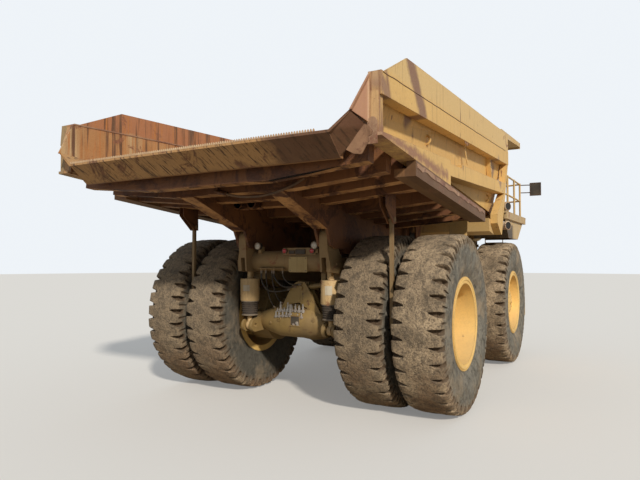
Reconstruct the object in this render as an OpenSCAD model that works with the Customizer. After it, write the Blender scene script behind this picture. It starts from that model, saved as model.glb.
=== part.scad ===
// Rigid mining dump truck: X runs forward, Y to the left, Z up, millimetres.
// The origin is on the ground, under the middle of the truck's length and width.

/* [Wheels] */
// Radius of a tyre at the tips of its lugs
tyre_r = 1330; // [1310:5:1345]
// Widest section of a tyre
tyre_w = 740; // [700:10:750]
// Radius of the rim where the bead of the tyre sits
rim_r = 622; // [600:2:640]
// Lugs along each shoulder of a tyre
lugs = 24; // [16:2:24]
// Depth of the gaps between the lugs
lug_depth = 75; // [40:5:90]
// Distance between the front and the rear axle
wheelbase = 4650; // [4600:10:4700]
// Place of the rear axle along the truck
rear_x = -1630; // [-1650:5:-1610]
// Distance from the middle of the truck to a front tyre
front_y = 2100; // [2090:5:2120]
// Distance from the middle of the truck to an outer rear tyre
dual_out_y = 2255; // [2250:5:2270]
// Distance from the middle of the truck to an inner rear tyre
dual_in_y = 1385; // [1375:5:1390]
// Radius of a front wheel spindle
spindle_r = 120; // [110:5:130]
// Radius of a rear axle tube inside its hub
tube_r = 200; // [180:5:220]

/* [Steering] */
// Distance from the middle of the truck to a kingpin
kingpin_y = 1450; // [1430:5:1460]
// Length of the steering arm behind the kingpin
steer_arm = 420; // [380:10:440]
// Height of the steering arms' lower face
steer_arm_z = 930; // [900:5:940]

/* [Frame] */
// Middle of a frame rail from the middle of the truck
rail_y = 700; // [690:5:705]
// Width of a frame rail
rail_w = 260; // [240:10:260]
// Underside of the rails between the axles
rail_z0 = 1150; // [1130:5:1170]
// Top of the rails under the bed
rail_z1 = 2300; // [2280:5:2300]
// Middle of a rear ear and of the bed's pin from the middle of the truck
ear_y = 750; // [745:5:755]
// Thickness of a rear ear
ear_t = 140; // [120:10:140]
// Radius of the bed's hinge pins
pin_r = 60; // [50:5:65]
// Radius of the holes in the front tow eyes
tow_r = 40; // [36:1:44]
// Distance from the middle of the truck to a tow eye
tow_y = 700; // [600:10:800]

/* [Bed] */
// Place of the bed's hinge along the truck
hinge_x = -2530; // [-2560:10:-2500]
// Height of the bed's hinge
hinge_z = 2600; // [2590:5:2610]
// Place of the rear struts along the truck
strut_x = -2450; // [-2460:5:-2440]
// Height of the pins that hang the rock ejectors
ejector_z = 2830; // [2820:5:2840]
// Half width of the flat of the floor
floor_half = 2050; // [2040:5:2070]
// Distance from the middle of the truck to the inside of a side wall at its foot
wall_foot_y = 2290; // [2280:5:2300]
// Distance from the middle of the truck to the inside of a side wall at its top
wall_y = 2420; // [2410:5:2425]
// Thickness of the side walls
wall_t = 25; // [20:1:30]
// Distance from the middle of the truck to the outside of the rails
bed_y = 2560; // [2550:5:2570]
// Thickness of the floor
floor_t = 30; // [25:1:35]
// Rise of the sloping corner between floor and wall
corner_h = 185; // [170:5:200]
// Depth of the cross bolsters under the floor
bolster_h = 200; // [180:10:210]

/* [Hoist] */
// Place of the hoist's lower pins along the truck
hoist_x = 250; // [240:5:260]
// Height of the hoist's lower pins
hoist_z = 1250; // [1240:5:1260]
// Distance from the middle of the truck to a hoist cylinder
hoist_y = 1080; // [1075:5:1085]
// Place of the hoist's upper pins along the truck, with the bed down
hoist_top_x = 300; // [290:5:310]
// Height of the hoist's upper pins, with the bed down
hoist_top_z = 2700; // [2690:5:2710]

/* [Deck and cab] */
// Top of the deck plate
deck_z = 3300; // [3290:5:3310]
// Half width of the deck
deck_y = 2450; // [2440:5:2460]
// Rear edge of the deck
deck_x0 = 2150; // [2140:5:2200]
// Front edge of the deck
deck_x1 = 4800; // [4780:5:4820]
// Top of the cab's roof
cab_z1 = 4780; // [4760:5:4785]
// Thickness of the cab's walls
cab_t = 50; // [40:5:60]
// Radius of the handrail tubes
rail_r = 20; // [18:1:24]

/* [Hidden] */
$fn = 64;

paint = [0.78, 0.62, 0.34];
dusty = [0.62, 0.52, 0.36];
rust = [0.42, 0.22, 0.14];
rubber = [0.24, 0.22, 0.20];
dark = [0.12, 0.12, 0.12];
steel = [0.55, 0.55, 0.54];
glass = [0.60, 0.75, 0.80];

front_x = rear_x + wheelbase;
axle_z = tyre_r;
play = 0.06;
seat = 0.05;

// Section of a tyre from one bead over the tread to the other: radius at a lug, radius at a gap, offset
tyre_section = [
    [rim_r, rim_r, -0.36], [1.55 * rim_r, 1.55 * rim_r, -0.50], [1190, 1175, -0.485],
    [tyre_r - 18, tyre_r - lug_depth, -0.45], [tyre_r, tyre_r, -0.15]];

// Line of the floor's top face, from the tail lip to the foot of the front wall
tail = [-4880, 3600];
foot = [1160, 3025];
function along(a, b, x) = a[1] + (x - a[0]) * (b[1] - a[1]) / (b[0] - a[0]);
floor_slope = atan2(tail[1] - foot[1], foot[0] - tail[0]);
function floor_top(x) = along(tail, foot, x);
function floor_under(x) = floor_top(x) - floor_t / cos(floor_slope);
function under_seat(x) = floor_under(x) - seat;

// Line of the front wall's rear face: lowest edge, bend and top
front_low = [1080, 2750];
front_bend = [1800, 4200];
front_high = [1800, 4820];
wall_lean = (front_bend[0] - front_low[0]) / (front_bend[1] - front_low[1]);
function front_wall_x(z) = front_low[0] + (min(z, front_bend[1]) - front_low[1]) * wall_lean;
floor_end = (front_low[0] + (floor_under(0) - front_low[1]) * wall_lean) / (1 + tan(floor_slope) * wall_lean);

// Sides of the bed: the lines of the rails, from rear to front, and the sideboard's peak.
// The left wall stands upright where the right one leans out, and its sideboard is flush with it.
rail_top = [[-4700, 4185], [1830, 4470]];
rail_low = [[-4680, 3945], [1830, 4200]];
board_peak = [-3960, 4540];
left_rail_top = [[-4660, 4240], [1830, 4470]];
left_peak = [-3790, 4590];
left_wall_y = wall_foot_y + 12;
mid_top = [[-4700, 3560], [1590, 3790]];
mid_low = [[-2290, 3430], [1480, 3575]];
step_x = -2290;
patch_x = -1700;
lifting_eyes = [[-2670, 2334, 3880], [830, 2322, 3440]];

// Hoist cylinder at rest: its length from pin to pin and its lean from upright
hoist_rest = norm([hoist_top_x - hoist_x, hoist_top_z - hoist_z]);
hoist_lean = atan2(hoist_top_x - hoist_x, hoist_top_z - hoist_z);

// Profile in X and Z, given its thickness from y0 to y1
module side_plate(points, y0, y1) {
    translate([0, y1, 0]) rotate([90, 0, 0]) linear_extrude(y1 - y0) polygon(points);
}

// Round bar or tube along Y
module cross_bar(x, z, r, y0, y1) {
    translate([x, y0, z]) rotate([-90, 0, 0]) cylinder(r = r, h = y1 - y0);
}

// Round bar along X
module long_bar(y, z, r, x0, x1) {
    translate([x0, y, z]) rotate([0, 90, 0]) cylinder(r = r, h = x1 - x0);
}

// Round bar between two points
module bar(a, b, r) {
    d = b - a;
    l = norm(d);
    translate(a) rotate([0, acos(d[2] / l), atan2(d[1], d[0])]) cylinder(r = r, h = l);
}

// Flat or twisted sheet: an outline of points in space, given its thickness along one direction
module sheet(outline, thickness) {
    n = len(outline);
    points = concat(outline, [for (p = outline) p + thickness]);
    near = [for (i = [1 : n - 2]) [0, i, i + 1]];
    far = [for (t = near) [t[2] + n, t[1] + n, t[0] + n]];
    rim = [for (i = [0 : n - 1]) [(i + 1) % n, i, i + n, (i + 1) % n + n]];
    faces = concat(near, far, rim);
    turned = cross(outline[1] - outline[0], outline[2] - outline[0]) * thickness < 0;
    polyhedron(points, turned ? [for (f = faces) [for (i = [len(f) - 1 : -1 : 0]) f[i]]] : faces);
}

module block(x0, x1, y0, y1, z0, z1) {
    translate([x0, y0, z0]) cube([x1 - x0, y1 - y0, z1 - z0]);
}

module both_sides() {
    children();
    mirror([0, 1, 0]) children();
}

// Tyre about the Y axis, its lugs on one shoulder half a step from those on the other
module tyre(y) {
    half = [for (p = tyre_section) p];
    steps = 2 * lugs;
    n = 2 * len(half);
    function point(k, i) =
        let (
            far = k >= len(half),
            p = far ? half[n - 1 - k] : half[k],
            lug = (i + (far ? 1 : 0)) % 2 == 0,
            flat = 1 / cos(180 / steps),
            r = (lug ? p[0] : p[1]) * flat,
            a = -90 + 360 * (i + 0.5) / steps
        )
        [r * cos(a), y + (far ? -1 : 1) * p[2] * tyre_w, r * sin(a)];
    points = [for (i = [0 : steps - 1], k = [0 : n - 1]) point(k, i)];
    faces = [for (i = [0 : steps - 1], k = [0 : n - 1])
        let (j = (i + 1) % steps, m = (k + 1) % n)
        each [[i * n + k, j * n + k, j * n + m], [i * n + k, j * n + m, i * n + m]]];
    polyhedron(points, faces);
}

// Rim about the Y axis, from one flange to the other; the flanges follow the tyre's beads
flange_t = 50;
module rim_tube(y) {
    bead = 0.36 * tyre_w;
    flange = bead + flange_t;
    translate([0, y, 0]) rotate([90, 0, 0]) rotate_extrude($fn = 96) polygon([
        [rim_r - 32, -flange], [rim_r + 68, -flange], [rim_r + 68, -bead - 23], [rim_r, -bead - 2],
        [rim_r, bead + 2], [rim_r + 68, bead + 23], [rim_r + 68, flange], [rim_r - 32, flange]]);
}

module front_tyre(side) {
    translate([front_x, side * front_y, axle_z]) tyre(0);
}

// Front wheel: rim, sloping disc and the hub on its spindle
module front_rim(side) {
    hub_in = -330;
    hub_out = 230;
    translate([front_x, side * front_y, axle_z]) mirror([0, side < 0 ? 1 : 0, 0]) {
        rim_tube(0);
        rotate([-90, 0, 0]) rotate_extrude($fn = 96) polygon([
            [spindle_r + play, hub_in], [280, hub_in], [300, 0], [rim_r - 32, 90], [rim_r - 32, 130],
            [310, 60], [240, 120], [230, hub_out], [0, hub_out + 20], [0, 130], [spindle_r + play, 130]]);
    }
}

module rear_tyres(side) {
    translate([rear_x, 0, axle_z]) {
        tyre(side * dual_in_y);
        tyre(side * dual_out_y);
    }
}

// Rear dual wheel: two rims, the spacer between them and the planetary hub deep inside
module rear_rims(side) {
    middle = (dual_in_y + dual_out_y) / 2;
    apart = (dual_out_y - dual_in_y) / 2;
    edge = apart - 0.36 * tyre_w - flange_t;
    translate([rear_x, side * middle, axle_z]) mirror([0, side < 0 ? 1 : 0, 0]) {
        rim_tube(-apart);
        rim_tube(apart);
        rotate([-90, 0, 0]) rotate_extrude($fn = 96) polygon([
            [rim_r - 32, -edge], [rim_r - 2, -edge], [rim_r - 2, edge], [rim_r - 32, edge]]);
        rotate([-90, 0, 0]) rotate_extrude($fn = 96) polygon([
            [tube_r + play, -600], [420, -600], [430, 0], [rim_r - 32, 40], [rim_r - 32, 100], [430, 90],
            [420, 220], [350, 240], [340, 330], [200, 370], [0, 375], [0, -200], [tube_r + play, -200]]);
    }
}

// Round tube across the rear of the frame, and the pins of the rear struts
tube_x = -2360;
tube_z = 2250;
rear_tube_r = 165;
strut_pin_r = 34;

// Frame rail: a welded box that steps up over the rear axle and ends in the bed's ear
module frame_rail(side) {
    y0 = rail_y - rail_w / 2;
    y1 = rail_y + rail_w / 2;
    mirror([0, side < 0 ? 1 : 0, 0]) {
        difference() {
            side_plate([
                [4600, rail_z0], [250, rail_z0], [-150, 1300], [-650, 1850], [-2250, 1950], [-2250, rail_z1],
                [700, rail_z1], [1350, 1760], [1900, 1650], [4600, 1650]], y0, y1);
            cross_bar(tube_x, tube_z, rear_tube_r, 0, ear_y - ear_t / 2);
        }
        difference() {
            union() {
                intersection() {
                    side_plate([
                        [-2250, rail_z1], [-2250, 1990], [-2290, 2050], [-2640, 2085], [-2660, 2250],
                        [hinge_x - 150, hinge_z], [hinge_x + 140, hinge_z + 50]], ear_y - 110, ear_y + 110);
                    translate([-2700, 0, 0]) rotate([90, 0, 90]) linear_extrude(450) polygon([
                        [ear_y - ear_t / 2, 2000], [ear_y + 105, 2000], [ear_y + 105, 2220],
                        [ear_y + ear_t / 2, 2400], [ear_y + ear_t / 2, 2700], [ear_y - ear_t / 2, 2700]]);
                }
                cross_bar(hinge_x, hinge_z, 150, ear_y - ear_t / 2, ear_y + ear_t / 2);
            }
            cross_bar(hinge_x, hinge_z, pin_r + play, 0, 1000);
            cross_bar(strut_x, 2190, strut_pin_r + play, 0, 1000);
            block(-2700, -2360, ear_y - 38, ear_y + 38, 1980, 2300);
        }
        cross_bar(hoist_x, hoist_z, 70, y1, hoist_y + 190);
        side_plate([[hoist_x - 160, rail_z0], [hoist_x + 160, rail_z0], [hoist_x + 90, hoist_z + 120],
            [hoist_x - 90, hoist_z + 120]], y1, y1 + 40);
        side_plate([[front_x - 240, 1640], [front_x + 240, 1640], [front_x + 190, 2250],
            [front_x - 190, 2250]], y0, y1);
    }
}

// Cross boxes between the rails, the round tube between the ears, and on the tube the brackets
// for the lamps and for the hoses that hang from it
module crossmembers() {
    inside = rail_y - rail_w / 2;
    for (x = [0, 1800, 4380]) block(x, x + 200, -inside, inside, rail_z0, rail_z0 + 200);
    block(front_x - 160, front_x + 160, -inside, inside, rail_z0, rail_z0 + 120);
    cross_bar(tube_x, tube_z, rear_tube_r, -(ear_y - ear_t / 2), ear_y - ear_t / 2);
    side_plate([[-2500, 2345], [-2400, 2345], [-2400, 2395], [-2440, 2455], [-2500, 2455]], -520, 80);
    for (y = [-560, 500]) block(-2500, -2400, y, y + 60, 2370, 2480);
    side_plate([[-2545, hose_top + 25], [-2400, hose_top + 25], [-2400, 2160], [-2440, 2150],
        [-2440, hose_top + 37], [-2545, hose_top + 37]], 40, 530);
    for (h = hoses) hose_end(h[0][0], h[0][1], h[1]);
}

// Bumper beam, hollowed behind its ends where the steered tyres pass
module front_bumper() {
    half = [[4600, 1200], [4690, 1300], [4690, 1800], [4600, 2150], [4590, 2320], [4640, 2380], [4720, 2380],
        [4880, 2150]];
    beam = concat(half, [for (i = [len(half) - 1 : -1 : 0]) [half[i][0], -half[i][1]]]);
    difference() {
        translate([0, 0, 900]) linear_extrude(420) polygon(beam);
        for (y = [-1750, -1500, 1500, 1750]) long_bar(y, 1110, 100, 4810, 4900);
    }
    both_sides() {
        block(4600, 4660, rail_y - 100, rail_y + 100, 1320, 1600);
        difference() {
            side_plate([[4620, 900], [4620, 830], [4650, 760], [4750, 760], [4780, 830], [4780, 900]],
                tow_y - 30, tow_y + 30);
            cross_bar(4700, 830, tow_r, tow_y - 50, tow_y + 50);
        }
    }
}

// Radiator guard: a deep frame with upright bars
module radiator_grille() {
    bars = 15;
    difference() {
        block(4450, 4700, -900, 900, 1650, 3200);
        block(4560, 4710, -820, 820, 1730, 3120);
    }
    for (i = [0 : bars - 1]) {
        y = -760 + i * 1520 / (bars - 1);
        block(4640, 4665, y - 14, y + 14, 1720, 3130);
    }
    for (z = [2080, 2430, 2780]) block(4615, 4640, -830, 830, z - 15, z + 15);
}

module hood() {
    difference() {
        side_plate([[2300, 2350], [4450, 2350], [4450, 3255], [2300, 3255]], -810, 810);
        side_plate([[2270, 2300], [4460, 2300], [4460, 3225], [2270, 3225]], -785, 785);
    }
}

module engine_block() {
    side_plate([[2500, 1350], [4000, 1350], [4200, 1500], [4200, 2500], [3900, 2650], [2600, 2650],
        [2350, 2300], [2350, 1500]], -480, 480);
    both_sides() block(2700, 2900, 480, rail_y - rail_w / 2, 1500, 1640);
    block(4200, 4450, -250, 250, 1700, 2400);
}

// Transfer shafts and the planetary transmission between the engine and the rear axle
module drive_line() {
    long_bar(0, 1500, 70, 1500, 2350);
    long_bar(0, 1500, 120, 2290, 2350);
    long_bar(0, 1450, 330, 500, 1300);
    long_bar(0, 1450, 260, 1300, 1500);
    long_bar(0, 1450, 180, 420, 500);
    bar([-1207, 0, 1400], [420, 0, 1450], 70);
    both_sides() block(600, 760, 250, rail_y - rail_w / 2, 1350, 1450);
}

// Deck plate with its edge channels, left open over the engine bay's sides
module deck() {
    plan = [[deck_x0, -deck_y], [deck_x1 - 250, -deck_y], [deck_x1, -2150], [deck_x1, 2150],
        [deck_x1 - 250, deck_y], [deck_x0, deck_y]];
    translate([0, 0, deck_z - 45]) linear_extrude(45) polygon(plan);
    both_sides() {
        for (y = [1600, deck_y - 60]) block(deck_x0 + 40, deck_x1 - 280, y, y + 60, deck_z - 165, deck_z - 45);
        block(deck_x0 + 40, 4440, 830, 890, deck_z - 165, deck_z - 45);
    }
    both_sides() block(2680, 2780, 850, 950, 2220, deck_z - 45);
}

// Plates over a front wheel: outer valance and the sloping guard behind the tyre
module fenders() {
    both_sides() {
        difference() {
            union() {
                side_plate([[2250, deck_z - 165], [2620, 2740], [3700, 2740], [4350, deck_z - 165]],
                    deck_y - 60, deck_y - 48);
                side_plate([[2250, deck_z - 165], [2270, deck_z - 165], [2640, 2740], [2620, 2740]],
                    1650, deck_y - 60);
            }
            mirror([0, 1, 0]) along_tailpipe(low_pipe_z) cylinder(r = pipe_r + 8, h = 700);
        }
        side_plate([[4330, deck_z - 165], [4350, deck_z - 165], [3700, 2740], [3680, 2740]],
            1650, deck_y - 60);
    }
}

cab_x0 = 2450;
cab_x1 = 4250;
cab_y0 = 230;
cab_y1 = 1600;
driver_y = 915;
door_x0 = 2850;
door_x1 = 3600;
door_z0 = deck_z + 60;
door_z1 = cab_z1 - 130;

cab_side = [[cab_x0, deck_z], [cab_x1, deck_z], [cab_x1, deck_z + 550], [cab_x1 - 180, cab_z1],
    [cab_x0 + 60, cab_z1], [cab_x0, cab_z1 - 120]];

// Cab: a hollow shell with its windows and doorway cut
module cab_shell() {
    difference() {
        side_plate(cab_side, cab_y0, cab_y1);
        side_plate([for (p = cab_side) [
            p[0] + (p[0] < 3400 ? cab_t : -cab_t), p[1] + (p[1] < deck_z + 100 ? cab_t : p[1] > cab_z1 - 60
            ? -cab_t : 0)]], cab_y0 + cab_t, cab_y1 - cab_t);
        block(door_x0, door_x1, cab_y1 - 100, cab_y1 + 10, door_z0, door_z1);
        block(door_x1 + 80, cab_x1 - 230, cab_y1 - 100, cab_y1 + 10, deck_z + 620, cab_z1 - 160);
        block(cab_x0 + 130, door_x0 - 80, cab_y1 - 100, cab_y1 + 10, deck_z + 620, cab_z1 - 160);
        block(cab_x0 + 300, cab_x1 - 300, cab_y0 - 10, cab_y0 + 100, deck_z + 620, cab_z1 - 160);
        block(cab_x0 - 10, cab_x0 + 100, cab_y0 + 150, cab_y1 - 150, deck_z + 700, cab_z1 - 200);
        block(cab_x1 - 400, cab_x1 + 10, cab_y0 + 90, cab_y1 - 90, deck_z + 620, cab_z1 - 160);
    }
    for (z = [door_z0 + 150, door_z1 - 150]) {
        translate([door_x0, cab_y1 + 28, z + 96]) cylinder(r = 16, h = 60);
        block(door_x0 - 70, door_x0, cab_y1, cab_y1 + 30, z + 96, z + 156);
    }
}

// Panes set in the middle of the walls
module cab_glass() {
    t = 8;
    mid = cab_t / 2;
    block(door_x1 + 80, cab_x1 - 230, cab_y1 - mid - t, cab_y1 - mid, deck_z + 620, cab_z1 - 160);
    block(cab_x0 + 130, door_x0 - 80, cab_y1 - mid - t, cab_y1 - mid, deck_z + 620, cab_z1 - 160);
    block(cab_x0 + 300, cab_x1 - 300, cab_y0 + mid, cab_y0 + mid + t, deck_z + 620, cab_z1 - 160);
    block(cab_x0 + mid, cab_x0 + mid + t, cab_y0 + 150, cab_y1 - 150, deck_z + 700, cab_z1 - 200);
    slope = 180 / (cab_z1 - deck_z - 550);
    low = deck_z + 620;
    high = cab_z1 - 160;
    x_low = cab_x1 - (low - deck_z - 550) * slope - mid;
    x_high = cab_x1 - (high - deck_z - 550) * slope - mid;
    side_plate([[x_low, low], [x_high, high], [x_high - t, high], [x_low - t, low]], cab_y0 + 90, cab_y1 - 90);
}

// Door: one thick leaf with its window cut, hinged at its rear edge
module cab_door() {
    gap = 8;
    difference() {
        block(door_x0 + gap, door_x1 - gap, cab_y1 - 42, cab_y1 + 6, door_z0 + gap, door_z1 - gap);
        block(door_x0 + 80, door_x1 - 80, cab_y1 - 60, cab_y1 + 20, deck_z + 620, door_z1 - 80);
    }
    for (z = [door_z0 + 150, door_z1 - 150]) translate([door_x0, cab_y1 + 28, z]) cylinder(r = 16, h = 90);
    for (z = [door_z0 + 150, door_z1 - 150]) block(door_x0, door_x0 + 60, cab_y1 + 6, cab_y1 + 24, z + 20, z + 70);
    block(door_x1 - 70, door_x1 - 50, cab_y1 + 6, cab_y1 + 44, deck_z + 480, deck_z + 600);
}

module cab_door_glass() {
    block(door_x0 + 80, door_x1 - 80, cab_y1 - 24, cab_y1 - 16, deck_z + 620, door_z1 - 80);
}

module operator_seat() {
    x = 2950;
    y = driver_y;
    floor_z = deck_z + cab_t;
    block(x - 60, x + 260, y - 180, y + 180, floor_z, floor_z + 300);
    block(x - 120, x + 340, y - 250, y + 250, floor_z + 300, floor_z + 420);
    side_plate([[x - 120, floor_z + 420], [x - 10, floor_z + 420], [x - 90, floor_z + 1050],
        [x - 190, floor_z + 1050]], y - 230, y + 230);
}

// Dash with its hood, steering column and wheel
module operator_console() {
    floor_z = deck_z + cab_t;
    side_plate([[3860, floor_z + 50], [4170, floor_z + 50], [4170, floor_z + 560], [3980, floor_z + 640],
        [3800, floor_z + 600]], cab_y0 + cab_t, cab_y1 - cab_t);
    bar([3840, driver_y, floor_z + 540], [3640, driver_y, floor_z + 720], 30);
    translate([3640, driver_y, floor_z + 720]) rotate([0, -48, 0]) {
        rotate_extrude() translate([220, 0]) circle(r = 18);
        cylinder(r = 45, h = 30, center = true);
        for (a = [0, 120, 240]) rotate([0, 90, a]) translate([0, 0, 30]) cylinder(r = 10, h = 185);
    }
}

// Front side post of the handrails; the left rail stands further out, clear of the opened door
function front_post(side) = side > 0 ? [4540, 2385] : [4600, 2310];

// Handrails: posts, top rail and mid rail round the deck's open edges
module handrails() {
    top = deck_z + 850;
    heights = [deck_z + 430, top];
    corner = [4740, 1990];
    module post(x, y) {
        translate([x, y, deck_z]) cylinder(r = rail_r + 3, h = top - deck_z + 24);
    }
    for (side = [-1, 1]) mirror([0, side < 0 ? 1 : 0, 0]) {
        turn = front_post(side);
        for (x = [2180, 3040, 3830, turn[0]]) post(x, turn[1]);
        post(corner[0], corner[1]);
        for (z = heights) {
            long_bar(turn[1], z, rail_r, 2180, turn[0]);
            bar([turn[0], turn[1], z], [corner[0], corner[1], z], rail_r);
        }
    }
    for (y = [-1400, -850, 0, 850]) post(corner[0], y);
    for (z = heights) {
        cross_bar(corner[0], z, rail_r, -corner[1], -1400);
        cross_bar(corner[0], z, rail_r, -850, 850);
    }
}

// Ladders from the bumper's ends to the deck
module front_ladders() {
    both_sides() {
        for (y = [1400, 1840]) {
            side_plate([[4825, 1320], [4875, 1320], [4785, deck_z - 45], [4735, deck_z - 45]], y, y + 14);
            side_plate([[4820, 470], [4860, 470], [4860, 900], [4820, 900]], y, y + 14);
        }
        for (z = [1500 : 300 : 3000])
            cross_bar(4850 - (z - 1320) * 90 / (deck_z - 45 - 1320), z, 16, 1407, 1847);
        for (z = [510, 730]) cross_bar(4840, z, 15, 1407, 1847);
    }
}

// Mirrors on brackets outside the front corner posts
module mirrors() {
    for (side = [-1, 1]) mirror([0, side < 0 ? 1 : 0, 0]) {
        from = front_post(side);
        for (z = [deck_z + 640, deck_z + 830]) difference() {
            bar([from[0], from[1], z], [4660, 2560, z], 12);
            translate([from[0], from[1], z - 50]) cylinder(r = rail_r + 3, h = 100);
        }
        block(4630, 4690, 2540, 2800, deck_z + 560, deck_z + 880);
    }
}

module air_cleaners() {
    both_sides() {
        long_bar(1250, 2930, 190, 3750, 4450);
        long_bar(1250, 2930, 120, 4450, 4560);
        block(3850, 4350, 1200, 1300, 3100, deck_z - 45);
    }
}

// Two tailpipes from the engine bay, each with a collar at its elbow and an open end
pipe_x = 2560;
elbow_y = -1900;
pipe_r = 88;
low_pipe_z = 2990;
module along_tailpipe(z) {
    translate([pipe_x, elbow_y, z]) rotate([0, 0, -120]) rotate([0, 90, 0]) children();
}
module exhaust_pipes() {
    r = pipe_r;
    module tail_end(z) {
        difference() {
            along_tailpipe(z) cylinder(r = r, h = 660);
            along_tailpipe(z) translate([0, 0, 120]) cylinder(r = r - 8, h = 600);
        }
        translate([pipe_x, elbow_y, z]) sphere(r = r + 8);
    }
    tail_end(low_pipe_z);
    cross_bar(pipe_x, low_pipe_z, r - 3, elbow_y, -810);
    tail_end(deck_z + r + 9);
    cross_bar(pipe_x, deck_z + r + 9, r - 3, elbow_y, -1300);
    translate([pipe_x, -1300, deck_z + r + 9]) sphere(r = r + 5);
}

module tank(x0, x1, y0, y1, z0, z1, r) {
    translate([x0, 0, 0]) rotate([90, 0, 90]) linear_extrude(x1 - x0) union() {
        translate([y0, z0 + r]) square([y1 - y0, z1 - z0 - 2 * r]);
        translate([y0 + r, z0]) square([y1 - y0 - 2 * r, z1 - z0]);
        for (y = [y0 + r, y1 - r], z = [z0 + r, z1 - r]) translate([y, z]) circle(r = r);
    }
}

module fuel_tank() {
    tank(460, 1360, 1000, 2150, 1080, 2050, 160);
    translate([1100, 1900, 2050]) cylinder(r = 70, h = 90);
    for (x = [560, 1150]) block(x, x + 90, 830, 1000, 1300, 1600);
}

module hydraulic_tank() {
    mirror([0, 1, 0]) {
        tank(520, 1300, 1000, 1850, 1150, 1950, 120);
        translate([900, 1500, 1950]) cylinder(r = 60, h = 80);
        for (x = [620, 1100]) block(x, x + 90, 830, 1000, 1300, 1600);
    }
}

// Axle casting: banjo and brake drums turned in one piece, and behind it the rounded cross casting
// whose ends fork to carry the struts, with the sideways rod's bracket and the fittings' pad on top
cast_x = -2150;
cast_z = 1275;
side_rod_eye = [-2220, -130, 1820];
module rear_axle_housing() {
    half = [[420, 0], [400, 180], [300, 420], [270, 640], [330, 660], [460, 700], [460, 1100], [tube_r, 1100],
        [tube_r, 1560], [0, 1560]];
    translate([rear_x, 0, axle_z]) rotate([-90, 0, 0]) rotate_extrude($fn = 96) polygon(concat(
        half, [for (i = [len(half) - 1 : -1 : 1]) [half[i][0], -half[i][1]]]));
    difference() {
        union() {
            translate([cast_x, 0, cast_z]) rotate([-90, 0, 0]) rotate_extrude($fn = 96) polygon([
                [0, -700], [125, -700], [160, -620], [215, -460], [255, -300], [262, 0], [255, 300], [215, 460],
                [160, 620], [125, 700], [0, 700]]);
            both_sides() {
                side_plate([[rear_x - 150, 1460], [cast_x, 1400], [strut_x, 1305], [strut_x, 1095],
                    [cast_x, 1110], [rear_x - 150, 1090]], 640, 860);
                cross_bar(strut_x, 1200, 105, 640, 860);
            }
        }
        both_sides() {
            block(strut_x - 200, strut_x + 125, 705, 815, 1000, 1500);
            cross_bar(strut_x, 1200, strut_pin_r + play, 600, 900);
        }
        block(cast_x - 300, cast_x - 215, -165, -15, 1240, 1370);
    }
    long_bar(0, 1400, 170, -1330, -1210);
    block(-2240, -2080, -190, 300, 1500, 1560);
    for (x = [side_rod_eye[0] - 81, side_rod_eye[0] + 45]) difference() {
        translate([x, 0, 0]) rotate([90, 0, 90]) linear_extrude(36) polygon([
            [270, 1430], [40, 1850], [-50, 1915], [-200, 1915], [-255, 1840], [-500, 1420], [-400, 1360],
            [-240, 1500], [-100, 1590], [50, 1560], [130, 1430]]);
        long_bar(side_rod_eye[1], side_rod_eye[2], strut_pin_r + play, -2400, -2000);
    }
    for (h = hoses) hose_end(h[0][len(h[0]) - 1], h[0][len(h[0]) - 2], h[1]);
}

// Struts: rod eye in the ear, barrel, boot and the foot in the cross casting's fork
module rear_struts() {
    both_sides() {
        translate([strut_x, ear_y + 10, 0]) rotate_extrude() polygon([
            [0, 1230], [40, 1230], [40, 1345], [112, 1360], [128, 1600], [156, 1600], [156, 1960], [50, 1960],
            [50, 1985], [0, 1985]]);
        for (pin_z = [1200, 2190]) {
            cross_bar(strut_x, pin_z, 72, ear_y - 33, ear_y + 33);
            cross_bar(strut_x, pin_z, strut_pin_r, ear_y - ear_t / 2, ear_y + 105);
        }
        block(strut_x - 40, strut_x + 40, ear_y - 33, ear_y + 33, 1980, 2170);
    }
}

// A-shaped link from the axle to the cross box, and the sideways rod from the bracket to the frame
module axle_links() {
    difference() {
        translate([0, 0, 1170]) linear_extrude(110) polygon([
            [-90, -90], [-90, 90], [-900, 330], [-1440, 500], [-1440, 380], [-900, 150], [-500, 0],
            [-900, -150], [-1440, -380], [-1440, -500], [-900, -330]]);
        translate([rear_x, 0, axle_z]) rotate([-90, 0, 0]) rotate_extrude($fn = 96) polygon([
            [0, -640], [272, -640], [302, -420], [402, -180], [422, 0], [402, 180], [302, 420], [272, 640], [0, 640]]);
    }
    translate([-95, 0, 1225]) sphere(r = 95);
    eye = side_rod_eye;
    long_bar(eye[1], eye[2], 72, eye[0] - 43, eye[0] + 43);
    long_bar(eye[1], eye[2], strut_pin_r, eye[0] - 100, eye[0] + 100);
    bar(eye, [eye[0], -530, 1880], 40);
    block(eye[0] - 55, eye[0] + 55, -rail_y + rail_w / 2, -490, 1830, 2060);
}

// Front struts: fixed barrels in brackets on the rails
module front_struts() {
    both_sides() {
        difference() {
            union() {
                translate([front_x, kingpin_y, 1650]) cylinder(r = 175, h = 1050);
                translate([front_x, kingpin_y, 2560]) cylinder(r = 205, h = 60);
                block(front_x - 170, front_x + 170, rail_y + rail_w / 2, kingpin_y, 1760, 1860);
                block(2690, front_x + 170, rail_y + rail_w / 2, kingpin_y, 2120, 2220);
                block(front_x - 30, front_x + 30, rail_y + rail_w / 2, kingpin_y, 1860, 2120);
            }
            translate([front_x, kingpin_y, 1600]) cylinder(r = spindle_r + play, h = 760);
        }
    }
}

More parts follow.
